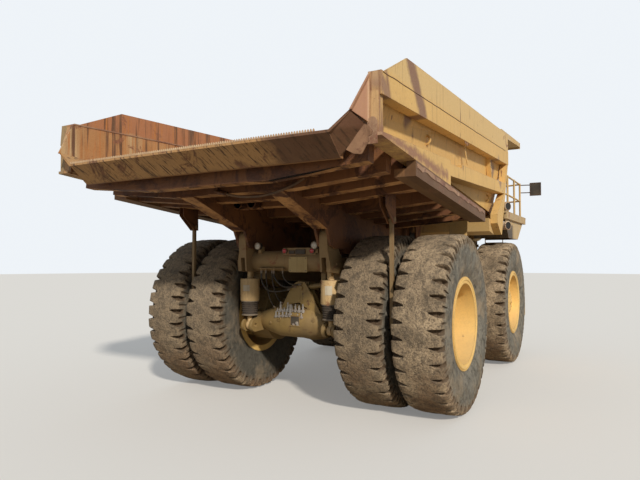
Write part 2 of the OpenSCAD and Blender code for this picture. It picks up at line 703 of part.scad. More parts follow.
// Steering knuckle: kingpin rod, spindle, brake and the arm to the tie rod
module knuckle(side) {
    mirror([0, side < 0 ? 1 : 0, 0]) {
        translate([front_x, kingpin_y, 1560]) cylinder(r = spindle_r, h = 700);
        translate([front_x, kingpin_y, steer_arm_z]) cylinder(r = 165, h = 640);
        cross_bar(front_x, axle_z, 200, kingpin_y, front_y - 345);
        cross_bar(front_x, axle_z, spindle_r, kingpin_y, front_y + 100);
        difference() {
            cross_bar(front_x, axle_z, 430, 1640, front_y - 345);
            cross_bar(front_x, axle_z, 290, 1700, front_y);
        }
        translate([0, 0, steer_arm_z]) linear_extrude(60) polygon([
            [front_x - 100, kingpin_y - 120], [front_x - 100, kingpin_y + 120],
            [front_x - steer_arm, kingpin_y + 55], [front_x - steer_arm, kingpin_y - 55]]);
        translate([front_x - steer_arm, kingpin_y, steer_arm_z]) cylinder(r = 70, h = 60);
    }
}

module tie_rod() {
    z = steer_arm_z + 60 + 8;
    cross_bar(front_x - steer_arm, z + 40, 34, -kingpin_y, kingpin_y);
    both_sides() translate([front_x - steer_arm, kingpin_y, z]) cylinder(r = 62, h = 80);
}

// Hoist cylinders: barrel, middle stage and rod share one line from pin to pin
module on_hoist(side) {
    translate([hoist_x, side * hoist_y, hoist_z]) rotate([0, hoist_lean, 0]) children();
}

module hoist_barrels() {
    for (s = [-1, 1]) on_hoist(s) difference() {
        union() {
            rotate([90, 0, 0]) cylinder(r = 120, h = 100, center = true);
            translate([0, 0, 80]) cylinder(r = 150, h = 1210);
        }
        rotate([90, 0, 0]) cylinder(r = 70 + play, h = 200, center = true);
        translate([0, 0, 135]) cylinder(r = 122, h = 1300);
    }
}

module hoist_stages() {
    for (s = [-1, 1]) on_hoist(s) difference() {
        translate([0, 0, 140]) cylinder(r = 120, h = 1180);
        translate([0, 0, 150]) cylinder(r = 92, h = 1300);
    }
}

module hoist_rods() {
    for (s = [-1, 1]) on_hoist(s) {
        translate([0, 0, 155]) cylinder(r = 90, h = hoist_rest - 155 - 140);
        translate([0, 0, hoist_rest - 150]) cylinder(r = 42, h = 90);
        translate([0, 0, hoist_rest]) rotate([90, 0, 0]) cylinder(r = 95, h = 90, center = true);
        translate([0, 0, hoist_rest]) rotate([90, 0, 0]) cylinder(r = 50, h = 106, center = true);
    }
}

// Puts what lies along +X onto the slope of the floor, from the place x
module on_floor(x) {
    translate([x, 0, floor_top(x)]) rotate([0, floor_slope, 0]) children();
}

// Floor plate with the folded tail plate, its sloping corner plates and the box flange along each edge
module floor_plates() {
    section = [[-wall_foot_y, corner_h], [-floor_half, 0], [floor_half, 0], [wall_foot_y, corner_h],
        [wall_foot_y, corner_h - floor_t], [floor_half + 10, -floor_t], [-floor_half - 10, -floor_t],
        [-wall_foot_y, corner_h - floor_t]];
    difference() {
        on_floor(tail[0]) rotate([90, 0, 90]) linear_extrude(norm(foot - tail) + 200) polygon(section);
        side_plate([front_low, front_bend, [2400, 4200], [2400, 2750]], -wall_y, wall_y);
    }
    side_plate([[tail[0] + 5, floor_under(tail[0] + 5) - 0.5], [tail[0] + 265, 3350], [tail[0] + 330, 3350],
        [tail[0] + 330, floor_under(tail[0] + 330) + 5], [tail[0] + 60, floor_under(tail[0] + 60) + 5]],
        -floor_half, floor_half);
    for (side = [-1, 1]) mirror([0, side < 0 ? 1 : 0, 0])
        sheet([[tail[0] + 3, floor_half - 20, tail[1] - 14], [tail[0] + 5, wall_foot_y - 5, tail[1] + corner_h - 20],
            [tail[0] + 190, side < 0 ? wall_y - 40 : wall_foot_y - 5, 3655],
            [tail[0] + 262, floor_half - 20, 3352]], [25, 0, 0]);
    both_sides() {
        side_plate([for (p = [[-3700, 60 + seat], [-250, 60 + seat], [-250, 245], [-3700, 245]])
            [p[0], floor_top(p[0]) - p[1]]], wall_y + wall_t, bed_y);
        side_plate([for (p = [[-3700, 150], [-250, 150], [-250, 245], [-3700, 245]]) [p[0], floor_top(p[0]) - p[1]]],
            wall_foot_y, wall_y + wall_t + 5);
    }
}

// The corner plates meet the floor plate at a seam
module bed_floor() {
    difference() {
        floor_plates();
        both_sides() block(tail[0] - 50, 2000, floor_half, floor_half + seat, 2500, 4500);
    }
}

// Side wall: wall plate, top rail with its sideboard, stepped middle rail, posts and lifting eyes
module bed_side(side) {
    skirt = 60;
    top = side > 0 ? left_rail_top : rail_top;
    peak = side > 0 ? left_peak : board_peak;
    top_y = side > 0 ? left_wall_y : wall_y;
    board_y = side > 0 ? left_wall_y : bed_y - 25;
    front = top[1];
    foot_x = front_wall_x(3200) + 10;
    mid_y = along([3200, wall_foot_y], [front[1], top_y], 4200);
    rear_foot = [tail[0] - 8, wall_foot_y, floor_top(tail[0] - 8) + corner_h - 12];
    mirror([0, side < 0 ? 1 : 0, 0]) {
        sheet([rear_foot, [foot_x, wall_foot_y, floor_top(foot_x) + corner_h - 12], [front[0] - 5, mid_y, 4200],
            [front[0] - 5, top_y, front[1] - 5], [top[0][0], top_y, top[0][1] - 5]], [0, wall_t, 0]);
        sheet([rear_foot + [10, 5, 0], [top[0][0] + 4, top_y + 8, top[0][1] - 20],
            [top[0][0] + 4, wall_y + 8, top[0][1] - 20], [top[0][0] + 4, wall_y + 8, 3660]], [22, 0, 0]);
        side_plate([top[0], front, rail_low[1], rail_low[0]], top_y - 8, bed_y);
        side_plate([top[0] + [12, -30], peak, [front[0] - 40, front_high[1]],
            [front[0] - 10, front_high[1] - 40], front + [-10, -60]], board_y, board_y + 22);
        side_plate([mid_top[0], [step_x, along(mid_top[0], mid_top[1], step_x)],
            [step_x, floor_top(step_x) - skirt], [-4700, floor_top(-4700) - skirt]], wall_foot_y + 55, bed_y);
        side_plate([[step_x - 20, 3600], [patch_x, 3620], [patch_x, along(mid_top[0], mid_top[1], patch_x)],
            mid_top[1], mid_low[1], mid_low[0] - [20, 0]], wall_foot_y + 58, bed_y - 4);
        block(-4690, -4590, top_y - 5, bed_y - 30, 3540, 3990);
        side_plate([rail_low[1] + [-6, 20], [1680, 4220], [1430, 3600], [760, 3120], [760, 2950], front_low,
            [front_low[0] + 60, front_low[1]]], wall_y + 3, bed_y - 6);
        side_plate([[520, 4190], [600, 4190], [790, 3730], [710, 3730]],
            side > 0 ? left_wall_y + wall_t - 5 : wall_y - 35, wall_y + 50);
        for (eye = lifting_eyes) translate([eye[0], side > 0 ? left_wall_y + wall_t - 12 : eye[1], eye[2]])
            rotate([0, 90, 0]) rotate_extrude(angle = 180) translate([60, 0]) circle(r = 16);
    }
}

// Front wall leaning forward over the deck, with cross ribs and the deep beam at its foot.
// Its ends are cut to the two side walls.
module bed_front_wall() {
    t = 35;
    gap = 2;
    left = wall_foot_y - gap;
    right = [[wall_y + 3, 2700], [wall_y + 3, 3150], [wall_foot_y - gap, 3160], [wall_foot_y - gap, 3200],
        [along([3200, wall_foot_y], [rail_top[1][1], wall_y], 4200) - gap, 4200],
        [wall_y - 8 - gap, 4380], [wall_y - 8 - gap, 4830]];
    intersection() {
        union() {
            side_plate([front_low, front_bend, front_high, [front_high[0] + t, front_high[1]],
                [front_bend[0] + t, front_bend[1]], [front_low[0] + t, front_low[1]]], -bed_y, bed_y);
            for (z = [3250, 3750]) side_plate([
                [front_wall_x(z) + t - 5, z], [front_wall_x(z) + t + 120, z],
                [front_wall_x(z + 180) + t + 100, z + 180], [front_wall_x(z + 180) + t - 5, z + 180]], -bed_y, bed_y);
            block(front_bend[0] + t - 5, front_bend[0] + t + 110, -bed_y, bed_y, 4300, 4480);
        }
        translate([600, 0, 0]) rotate([90, 0, 90]) linear_extrude(1600) polygon(concat(
            [for (p = right) [-p[0], p[1]]], [[left, 4830], [left, 3160], [wall_y + 3, 3150], [wall_y + 3, 2700]]));
    }
    side_plate([[640, under_seat(640)], [700, 2800], front_low + [-40, 0], front_low + [5, 0],
        [floor_end + 10, under_seat(floor_end + 10)]], -wall_y - 3, wall_y + 3);
}

// Canopy over the cab: sheet, upstands along it and a turned-up front edge
module bed_canopy() {
    a = front_high;
    b = [3930, 4960];
    t = 30;
    edge = 2440;
    side_plate([a, b, b + [0, t], a + [0, t]], -edge, edge);
    for (y = [-edge + 10, -1250, -30, 1190, edge - 70]) side_plate([
        a + [0, t - 5], b + [5, t - 5], b + [-60, t + 70], a + [60, t + 120]], y, y + 60);
    side_plate([b + [0, -40], b + [20, -40], b + [20, 100], b + [0, 100]], -edge, edge);
}

// Long sills under the floor, with the forks and pins of the bed's hinge
sill_y = [ear_y - 120, ear_y + 120];
bolster_x = [-4420, -3930, -3440, -2960, -2130, -1600, -1070, -540];
ejector_y = (dual_in_y + dual_out_y) / 2;
module sill_plates() {
    both_sides() side_plate([
        [-3960, 3150], [-2760, 2720], [hinge_x - 170, hinge_z], [hinge_x - 120, 2480], [hinge_x, 2440],
        [-2200, 2430], [-2120, 2360], [640, 2360], [640, under_seat(640)], [-3960, under_seat(-3960)]],
        sill_y[0], sill_y[1]);
}

module bolster_plate(x, section) {
    on_floor(x) rotate([90, 0, 90]) linear_extrude(150) polygon(section);
}

// One bolster: a deep box under the floor plate and, past a narrow gap, a box under each corner plate
module bolster(x) {
    gap = 2;
    inner = floor_half + 10;
    outer = inner + gap;
    deep = [1000, -bolster_h - 150];
    end_low = [wall_foot_y, -230];
    end_top = [wall_foot_y, corner_h - floor_t - seat];
    top = [inner, -floor_t - seat];
    bottom = [inner, along(deep, end_low, inner)];
    bolster_plate(x, [[-top[0], top[1]], top, bottom, deep, [-deep[0], deep[1]], [-bottom[0], bottom[1]]]);
    both_sides() bolster_plate(x, [[outer, along(top, end_top, outer)], end_top, end_low,
        [outer, along(deep, end_low, outer)]]);
}

// Sills, hoist hangers and the tapering plates, two a side, that hold the rock ejectors
module bed_sills() {
    difference() {
        sill_plates();
        both_sides() block(-2760, -2260, ear_y - ear_t / 2 - 8, ear_y + ear_t / 2 + 8, 2300, 2790);
    }
    both_sides() {
        cross_bar(hinge_x, hinge_z, pin_r, sill_y[0] + 5, sill_y[1] - 5);
        for (x = [-1900, -600, 400]) block(x, x + 220, ear_y - 90, ear_y + 70, 2310, 2365);
        for (y = [hoist_y - 95, hoist_y + 65]) side_plate([
            [hoist_top_x - 200, under_seat(hoist_top_x - 200)], [hoist_top_x - 90, hoist_top_z - 90],
            [hoist_top_x + 90, hoist_top_z - 90], [hoist_top_x + 180, under_seat(hoist_top_x + 180)]], y, y + 30);
        difference() {
            for (y = [ejector_y - 48, ejector_y + 34]) side_plate([
                [-2950, under_seat(-2950)], [-2590, under_seat(-2590)], [-2580, ejector_z - 60],
                [-2680, ejector_z - 60], [-2945, ejector_z + 170]], y, y + 14);
            for (up = [0, 2]) translate([0, 0, up]) bolster(bolster_x[3]);
            cross_bar(ejector_x, ejector_z, ejector_pin_r + play, 1700, 1900);
        }
    }
}

// Cross bolsters cut to the sills, two short outlet tubes, and the safety cable's lugs
module bed_bolsters() {
    difference() {
        for (x = bolster_x) bolster(x);
        sill_plates();
    }
    for (y = [220, 480]) difference() {
        long_bar(y, 3120, 84, -3150, -2900);
        long_bar(y, 3120, 70, -3160, -2970);
    }
    last = len(cable_route) - 1;
    bar(cable_route[0], cable_route[0] + [0, 200, 50], 26);
    block(-4010, -3900, 150, 330, 3160, 3330);
    bar(cable_route[last], cable_route[last] + [0, -120, 58], 26);
    block(-4010, -3900, -1420, -1320, 3290, 3390);
}

// Bent steel plates that hang in front of the rear tyres
module tyre_guards() {
    both_sides() side_plate([[-386, under_seat(-386)], [-374, under_seat(-374)], [-374, 2880], [-426, 2600],
        [-386, 2250], [-398, 2250], [-441, 2600], [-386, 2880]], 1980, wall_foot_y);
}

// Bars that hang from the bed between the dual tyres
ejector_x = -2630;
ejector_pin_r = 34;
module rock_ejectors() {
    both_sides() {
        block(ejector_x - 25, ejector_x + 25, ejector_y - 25, ejector_y + 25, 1320, ejector_z + 30);
        cross_bar(ejector_x, ejector_z, ejector_pin_r, ejector_y - 54, ejector_y + 54);
    }
}

// A tube swept along a list of points
function unit(v) = v / norm(v);
module hose(route, r) {
    sides = 8;
    last = len(route) - 1;
    function heading(i) = unit(route[min(i + 1, last)] - route[max(i - 1, 0)]);
    function side_of(h) = unit(cross(h, abs(h[2]) > 0.95 ? [1, 0, 0] : [0, 0, 1]));
    rings = [for (i = [0 : last])
        let (h = heading(i), u = side_of(h), v = cross(u, h))
        [for (k = [0 : sides - 1]) route[i] + r * (cos(360 * k / sides) * u + sin(360 * k / sides) * v)]];
    points = [for (ring = rings) each ring];
    walls = [for (i = [0 : last - 1], k = [0 : sides - 1])
        let (m = (k + 1) % sides)
        [i * sides + k, i * sides + m, (i + 1) * sides + m, (i + 1) * sides + k]];
    ends = [[for (k = [0 : sides - 1]) sides - 1 - k], [for (k = [0 : sides - 1]) last * sides + k]];
    polyhedron(points, concat(walls, ends), convexity = 4);
}

// Short steel end of a hose, going on from its last point along the same line
module hose_end(point, before, r) {
    bar(point, point + 45 * unit(point - before), r + 4);
}

// Brake and grease lines that hang from the plate under the cross tube to the axle: route and radius
hose_top = 2095;
brake_left = [[-2520, 480, hose_top], [-2520, 480, 2040], [-2522, 477, 1985], [-2524, 466, 1930],
    [-2525, 446, 1880], [-2524, 416, 1836], [-2520, 378, 1800], [-2512, 334, 1776], [-2500, 286, 1764],
    [-2482, 238, 1760], [-2458, 194, 1762], [-2428, 156, 1768], [-2394, 124, 1776], [-2356, 96, 1786],
    [-2318, 70, 1796]];
brake_middle = [[-2520, 240, hose_top], [-2520, 240, 2052], [-2518, 232, 2008], [-2513, 214, 1966],
    [-2505, 190, 1928], [-2494, 162, 1896], [-2480, 132, 1870], [-2463, 101, 1850], [-2443, 70, 1838],
    [-2420, 40, 1832], [-2395, 12, 1832], [-2368, -12, 1835], [-2342, -32, 1840], [-2330, -41, 1842],
    [-2318, -50, 1844]];
grease_left = [[-2480, 420, hose_top], [-2480, 420, 2050], [-2479, 418, 2000], [-2476, 414, 1950],
    [-2472, 410, 1900], [-2466, 406, 1850], [-2458, 402, 1800], [-2448, 398, 1752], [-2436, 394, 1706],
    [-2420, 390, 1662], [-2400, 386, 1620], [-2378, 382, 1582], [-2354, 378, 1548], [-2328, 374, 1518],
    [-2302, 370, 1490]];
grease_middle = [[-2480, 300, hose_top], [-2480, 300, 2050], [-2479, 298, 2004], [-2476, 295, 1958],
    [-2471, 291, 1912], [-2464, 286, 1866], [-2455, 280, 1820], [-2443, 274, 1776], [-2428, 268, 1734],
    [-2410, 262, 1694], [-2388, 256, 1657], [-2362, 250, 1624], [-2332, 245, 1598], [-2300, 240, 1578],
    [-2270, 236, 1564]];
grease_right = [[-2490, 90, hose_top], [-2490, 90, 2055], [-2488, 84, 2018], [-2483, 72, 1984],
    [-2475, 54, 1953], [-2464, 32, 1926], [-2450, 7, 1904], [-2433, -19, 1888], [-2414, -45, 1878],
    [-2393, -70, 1873], [-2371, -93, 1872], [-2350, -113, 1874], [-2334, -128, 1877], [-2326, -135, 1879],
    [-2318, -142, 1881]];
hoses = [[brake_left, 14], [brake_middle, 14], [grease_left, 11], [grease_middle, 11], [grease_right, 11]];

// Steel safety cable, hanging in a shallow curve under the tail between its two sockets
cable_route = [
    [-3990, 0, 3150], [-3990, -80, 3130], [-3990, -160, 3114], [-3990, -240, 3102], [-3990, -320, 3095],
    [-3990, -400, 3091], [-3990, -480, 3090], [-3990, -560, 3093], [-3990, -640, 3100], [-3990, -720, 3111],
    [-3990, -800, 3126], [-3990, -880, 3145], [-3990, -960, 3168], [-3990, -1040, 3195], [-3990, -1110, 3222],
    [-3990, -1170, 3249], [-3990, -1230, 3278]];

module safety_cable() {
    hose(cable_route, 16);
}

// Lamps on the rear bracket and in the bumper
module lamps() {
    for (y = [-470, 30]) long_bar(y, 2405, 42, -2530, -2500);
    for (y = [-530, 530]) long_bar(y, 2487, 58, -2560, -2500);
    for (y = [-1750, -1500, 1500, 1750]) long_bar(y, 1110, 90, 4810, 4872);
}

color(dusty) frame_rail(1);  // frame_rail_left
color(dusty) frame_rail(-1);  // frame_rail_right
color(dusty) crossmembers();
color(paint) front_bumper();
color(dark) radiator_grille();
color(paint) hood();
color(steel) engine_block();
color(steel) drive_line();
color(paint) deck();
color(paint) fenders();
color(paint) cab_shell();
color(glass) cab_glass();
color(paint) cab_door();
color(glass) cab_door_glass();
color(dark) operator_seat();
color(dark) operator_console();
color(paint) handrails();
color(paint) front_ladders();
color(dark) mirrors();
color(paint) air_cleaners();
color(steel) exhaust_pipes();
color(paint) fuel_tank();
color(paint) hydraulic_tank();
color(paint) rear_axle_housing();
color(dusty) rear_struts();
color(paint) axle_links();
color(dusty) front_struts();
color(dark) hose(brake_left, 14);  // brake_hose_left
color(dark) hose(brake_middle, 14);  // brake_hose_middle
color(dark) hose(grease_left, 11);  // grease_hose_left
color(dark) hose(grease_middle, 11);  // grease_hose_middle
color(dark) hose(grease_right, 11);  // grease_hose_right
color("white") lamps();
color(rust) bed_floor();
color(paint) bed_side(1);  // bed_side_left
color(paint) bed_side(-1);  // bed_side_right
color(paint) bed_front_wall();
color(paint) bed_canopy();
color(dusty) bed_sills();
color(dusty) bed_bolsters();
color(paint) tyre_guards();
color(steel) safety_cable();
color(dusty) rock_ejectors();
color(paint) hoist_barrels();
color(steel) hoist_stages();
color(steel) hoist_rods();
color(dusty) knuckle(1);  // knuckle_left
color(dusty) knuckle(-1);  // knuckle_right
color(dusty) tie_rod();
color(rubber) front_tyre(1);  // front_tyre_left
color(rubber) front_tyre(-1);  // front_tyre_right
color(paint) front_rim(1);  // front_rim_left
color(paint) front_rim(-1);  // front_rim_right
color(rubber) rear_tyres(1);  // rear_tyres_left
color(rubber) rear_tyres(-1);  // rear_tyres_right
color(paint) rear_rims(1);  // rear_rims_left
color(paint) rear_rims(-1);  // rear_rims_right
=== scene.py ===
import math

import bpy
from mathutils import Matrix, Vector, noise


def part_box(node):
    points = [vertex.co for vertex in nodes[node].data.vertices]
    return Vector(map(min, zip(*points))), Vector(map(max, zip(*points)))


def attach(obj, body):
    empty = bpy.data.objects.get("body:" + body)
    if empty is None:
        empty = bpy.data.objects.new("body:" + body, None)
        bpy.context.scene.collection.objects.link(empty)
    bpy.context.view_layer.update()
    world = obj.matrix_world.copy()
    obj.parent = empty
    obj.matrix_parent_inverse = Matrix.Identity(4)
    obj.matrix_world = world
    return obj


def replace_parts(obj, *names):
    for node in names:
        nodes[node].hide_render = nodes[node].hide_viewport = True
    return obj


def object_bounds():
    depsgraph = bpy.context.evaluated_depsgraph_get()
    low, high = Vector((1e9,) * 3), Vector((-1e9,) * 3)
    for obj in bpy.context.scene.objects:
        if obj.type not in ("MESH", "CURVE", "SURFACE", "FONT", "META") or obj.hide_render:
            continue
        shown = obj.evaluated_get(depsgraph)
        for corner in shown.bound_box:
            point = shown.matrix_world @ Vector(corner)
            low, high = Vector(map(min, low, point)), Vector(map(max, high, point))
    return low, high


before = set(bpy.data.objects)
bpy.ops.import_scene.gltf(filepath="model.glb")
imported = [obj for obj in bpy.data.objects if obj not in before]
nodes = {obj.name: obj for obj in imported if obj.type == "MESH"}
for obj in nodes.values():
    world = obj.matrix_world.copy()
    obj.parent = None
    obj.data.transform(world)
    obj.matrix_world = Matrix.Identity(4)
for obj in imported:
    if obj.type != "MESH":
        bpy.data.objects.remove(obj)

cad_low, cad_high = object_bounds()


# Camera: it stands low behind the truck's right rear corner and looks forward along the right side,
# a little upwards, with the whole truck in view.
camera_place = Vector((-9.725, -4.714, 2.270))
camera_turn = math.radians(29.68)
camera_lift = math.radians(2.06)
camera_data = bpy.data.cameras.new("camera")
camera_data.lens = 30.73
camera = bpy.data.objects.new("camera", camera_data)
bpy.context.scene.collection.objects.link(camera)
looking = Vector((math.cos(camera_turn) * math.cos(camera_lift), math.sin(camera_turn) * math.cos(camera_lift),
                  math.sin(camera_lift)))
camera.location = camera_place
camera.rotation_euler = looking.to_track_quat("-Z", "Y").to_euler()
bpy.context.scene.camera = camera


# Brake and grease hoses: black rubber hoses with crimped steel ends, from the block on the cross tube
# down to the axle casting. They hang in open curves, long enough for the axle's travel.
def plug(socket, value):
    """Joins a socket to another one, or sets its value; a colour may leave out its alpha."""
    if isinstance(value, bpy.types.NodeSocket):
        socket.id_data.links.new(value, socket)
    elif socket.type == "RGBA":
        socket.default_value = (*value[:3], 1)
    else:
        socket.default_value = value


def put(where, kind, **settings):
    """Adds a node to the tree that where is part of; a setting named after an input sets or joins it."""
    made = where.id_data.nodes.new(kind)
    for name, value in settings.items():
        socket = made.inputs.get(name.replace("_", " "))
        if socket is None:
            setattr(made, name, value)
        else:
            plug(socket, value)
    return made


def new_material(name):
    """A material with an empty tree, and its Object coordinates."""
    material = bpy.data.materials.new(name)
    material.use_nodes = True
    material.node_tree.nodes.clear()
    return material, put(material.node_tree, "ShaderNodeTexCoord").outputs["Object"]


def value_of(source, low, high):
    """Stretches a grey value so that low becomes 0 and high becomes 1."""
    return put(source, "ShaderNodeMapRange", Value=source, From_Min=low, From_Max=high).outputs[0]


def speckle(place, scale, detail=4.0, rough=0.55, twist=0.0):
    return put(place, "ShaderNodeTexNoise", Vector=place, Scale=scale, Detail=detail, Roughness=rough,
               Distortion=twist).outputs["Fac"]


def sums(kind, first, second=0.0):
    made = put(first, "ShaderNodeMath", operation=kind)
    plug(made.inputs[0], first)
    plug(made.inputs[1], second)
    return made.outputs[0]


def times(first, second):
    return sums("MULTIPLY", first, second)


def mixed(share, first, second):
    made = put(share, "ShaderNodeMix", data_type="RGBA")
    for socket, value in ((made.inputs[0], share), (made.inputs[6], first), (made.inputs[7], second)):
        plug(socket, value)
    return made.outputs[2]


def stained(colour, source, low, high, stain, strength=None):
    """Lays a stain over a colour where a grey value rises from low to high."""
    share = value_of(source, low, high)
    return mixed(share if strength is None else times(share, strength), colour, stain)


def shade(colour, share):
    return tuple(share * c for c in colour)


def part_of(vector, axis):
    return put(vector, "ShaderNodeSeparateXYZ", Vector=vector).outputs[axis]


def facing(place, axis):
    """How far a face looks along an axis: 1 along it, -1 against it."""
    return part_of(put(place, "ShaderNodeNewGeometry").outputs["Normal"], axis)


def finish_material(colour, roughness, height=None, bump=0.3, depth=0.01, metal=0.0, specular=0.35):
    surface = put(colour, "ShaderNodeBsdfPrincipled", Base_Color=colour, Roughness=roughness, Metallic=metal,
                  Specular_IOR_Level=specular)
    if height is not None:
        raised = put(colour, "ShaderNodeBump", Strength=bump, Distance=depth, Height=height)
        plug(surface.inputs["Normal"], raised.outputs[0])
    put(colour, "ShaderNodeOutputMaterial", Surface=surface.outputs[0])


def dusty_rubber(name, rubber, dust, share):
    material, place = new_material(name)
    grains = speckle(place, 120, 3, 0.6)
    lying = sums("MAXIMUM", value_of(speckle(place, 9, 6, 0.65), 0.4, 0.75),
                 times(value_of(facing(place, "Z"), 0.1, 0.9), 0.8))
    colour = mixed(times(lying, share), rubber, dust)
    colour = stained(colour, grains, 0.5, 0.7, dust, 0.2)
    finish_material(colour, 0.78, grains, 0.2, 0.002)
    return material


def bent_rod(name, route, radius, handles="AUTO"):
    """A round curve through the points of route."""
    line = bpy.data.curves.new(name, "CURVE")
    line.dimensions = "3D"
    line.bevel_depth = radius
    line.bevel_resolution = 4
    line.resolution_u = 4
    line.use_fill_caps = True
    spline = line.splines.new("BEZIER")
    spline.bezier_points.add(len(route) - 1)
    for knot, point in zip(spline.bezier_points, route):
        knot.co = point
        knot.handle_left_type = knot.handle_right_type = handles
    piece = bpy.data.objects.new(name, line)
    bpy.context.scene.collection.objects.link(piece)
    return piece


def cord_piece(node, millimetres, radius, body, material):
    """The cord itself, in place of its solid node; gives its route in metres."""
    route = [Vector(p) / 1000 for p in millimetres]
    cord = bent_rod(node + "_cord", route, radius)
    cord.data.materials.append(material)
    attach(cord, body)
    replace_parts(cord, node)
    return route


hose_rubber = dusty_rubber("dusty hose rubber", (0.022, 0.021, 0.020), (0.16, 0.12, 0.08), 0.6)
hoses = {
    "brake_hose_left": (0.014, [
        (-2520, 480, 2095), (-2520, 480, 2040), (-2522, 477, 1985), (-2524, 466, 1930), (-2525, 446, 1880),
        (-2524, 416, 1836), (-2520, 378, 1800), (-2512, 334, 1776), (-2500, 286, 1764), (-2482, 238, 1760),
        (-2458, 194, 1762), (-2428, 156, 1768), (-2394, 124, 1776), (-2356, 96, 1786), (-2318, 70, 1796)]),
    "brake_hose_middle": (0.014, [
        (-2520, 240, 2095), (-2520, 240, 2052), (-2518, 232, 2008), (-2513, 214, 1966), (-2505, 190, 1928),
        (-2494, 162, 1896), (-2480, 132, 1870), (-2463, 101, 1850), (-2443, 70, 1838), (-2420, 40, 1832),
        (-2395, 12, 1832), (-2368, -12, 1835), (-2342, -32, 1840), (-2330, -41, 1842), (-2318, -50, 1844)]),
    "grease_hose_left": (0.011, [
        (-2480, 420, 2095), (-2480, 420, 2050), (-2479, 418, 2000), (-2476, 414, 1950), (-2472, 410, 1900),
        (-2466, 406, 1850), (-2458, 402, 1800), (-2448, 398, 1752), (-2436, 394, 1706), (-2420, 390, 1662),
        (-2400, 386, 1620), (-2378, 382, 1582), (-2354, 378, 1548), (-2328, 374, 1518), (-2302, 370, 1490)]),
    "grease_hose_middle": (0.011, [
        (-2480, 300, 2095), (-2480, 300, 2050), (-2479, 298, 2004), (-2476, 295, 1958), (-2471, 291, 1912),
        (-2464, 286, 1866), (-2455, 280, 1820), (-2443, 274, 1776), (-2428, 268, 1734), (-2410, 262, 1694),
        (-2388, 256, 1657), (-2362, 250, 1624), (-2332, 245, 1598), (-2300, 240, 1578), (-2270, 236, 1564)]),
    "grease_hose_right": (0.011, [
        (-2490, 90, 2095), (-2490, 90, 2055), (-2488, 84, 2018), (-2483, 72, 1984), (-2475, 54, 1953),
        (-2464, 32, 1926), (-2450, 7, 1904), (-2433, -19, 1888), (-2414, -45, 1878), (-2393, -70, 1873),
        (-2371, -93, 1872), (-2350, -113, 1874), (-2334, -128, 1877), (-2326, -135, 1879), (-2318, -142, 1881)]),
}
hose_ends = {}
for node, (radius, points) in hoses.items():
    route = cord_piece(node, points, radius, "chassis", hose_rubber)
    hose_ends[node] = (radius, [(route[0], route[1] - route[0]), (route[-1], route[-2] - route[-1])])


# Safety cable: a wire rope across the underside of the bed, held in a socket at each end. It hangs
# slack between them. Bare drawn steel, rusted brown.
wire, place = new_material("rusty wire rope")
slanting = put(place, "ShaderNodeMapping", Vector=place, Rotation=(math.radians(55), 0, 0)).outputs[0]
strands = put(place, "ShaderNodeTexWave", Vector=slanting, Scale=28.0, Distortion=0.4).outputs["Fac"]
colour = stained((0.15, 0.10, 0.07), speckle(place, 6, 5), 0.35, 0.65, (0.26, 0.15, 0.08))
colour = mixed(times(strands, 0.5), colour, (0.05, 0.035, 0.025))
finish_material(colour, 0.65, strands, 0.7, 0.006, 0.25)
cable_x = -3990
cord_piece("safety_cable", [(cable_x, y, z) for y, z in (
    (0, 3150), (-80, 3130), (-160, 3114), (-240, 3102), (-320, 3095), (-400, 3091), (-480, 3090), (-560, 3093),
    (-640, 3100), (-720, 3111), (-800, 3126), (-880, 3145), (-960, 3168), (-1040, 3195), (-1110, 3222),
    (-1170, 3249), (-1230, 3278))], 0.016, "bed", wire)


# Floor and light: a pale floor, a soft pale sky, and one lamp like a hazy sun. It stands to the right
# of the truck and a little behind it, so the right side is lit and the tail is in shade.
bpy.ops.object.select_all(action="DESELECT")
bpy.ops.mesh.primitive_circle_add(vertices=96, radius=90, fill_type="NGON")
floor = bpy.context.object
floor.name = "floor"


def mixed_shaders(share, first, second):
    made = put(share, "ShaderNodeMixShader", Fac=share)
    plug(made.inputs[1], first.outputs[0])
    plug(made.inputs[2], second.outputs[0])
    return made.outputs[0]


floor_paint, place = new_material("pale floor")
seen = put(place, "ShaderNodeLightPath")
bounce = put(place, "ShaderNodeBsdfDiffuse", Color=(0.42, 0.36, 0.28))
lit = put(place, "ShaderNodeAddShader")
plug(lit.inputs[0], put(place, "ShaderNodeBsdfDiffuse", Color=(0.60, 0.58, 0.55)).outputs[0])
plug(lit.inputs[1], put(place, "ShaderNodeEmission", Color=(0.80, 0.79, 0.77), Strength=0.24).outputs[0])
put(place, "ShaderNodeOutputMaterial", Surface=mixed_shaders(seen.outputs["Is Camera Ray"], bounce, lit))
floor.data.materials.append(floor_paint)

world = bpy.data.worlds.new("pale sky")
bpy.context.scene.world = world
world.use_nodes = True
sky = world.node_tree
sky.nodes.clear()
seen = put(sky, "ShaderNodeLightPath")
direct = sums("MAXIMUM", seen.outputs["Is Camera Ray"], seen.outputs["Is Glossy Ray"])
direct = sums("MAXIMUM", direct, seen.outputs["Is Transmission Ray"])
sky_light = put(sky, "ShaderNodeBackground", Color=(0.80, 0.90, 1.0), Strength=0.42)
sky_seen = put(sky, "ShaderNodeBackground", Color=(0.86, 0.90, 0.94), Strength=1.0)
put(sky, "ShaderNodeOutputWorld", Surface=mixed_shaders(direct, sky_light, sky_seen))

lamp_data = bpy.data.lights.new("hazy sun", "SUN")
lamp_data.energy = 3.3
lamp_data.color = (1.0, 0.94, 0.84)
lamp_data.angle = math.radians(4)
lamp = bpy.data.objects.new("hazy sun", lamp_data)
bpy.context.scene.collection.objects.link(lamp)
lamp.rotation_euler = Vector((0.60, 0.62, -0.51)).to_track_quat("-Z", "Y").to_euler()
bpy.context.scene.view_settings.view_transform = "Standard"


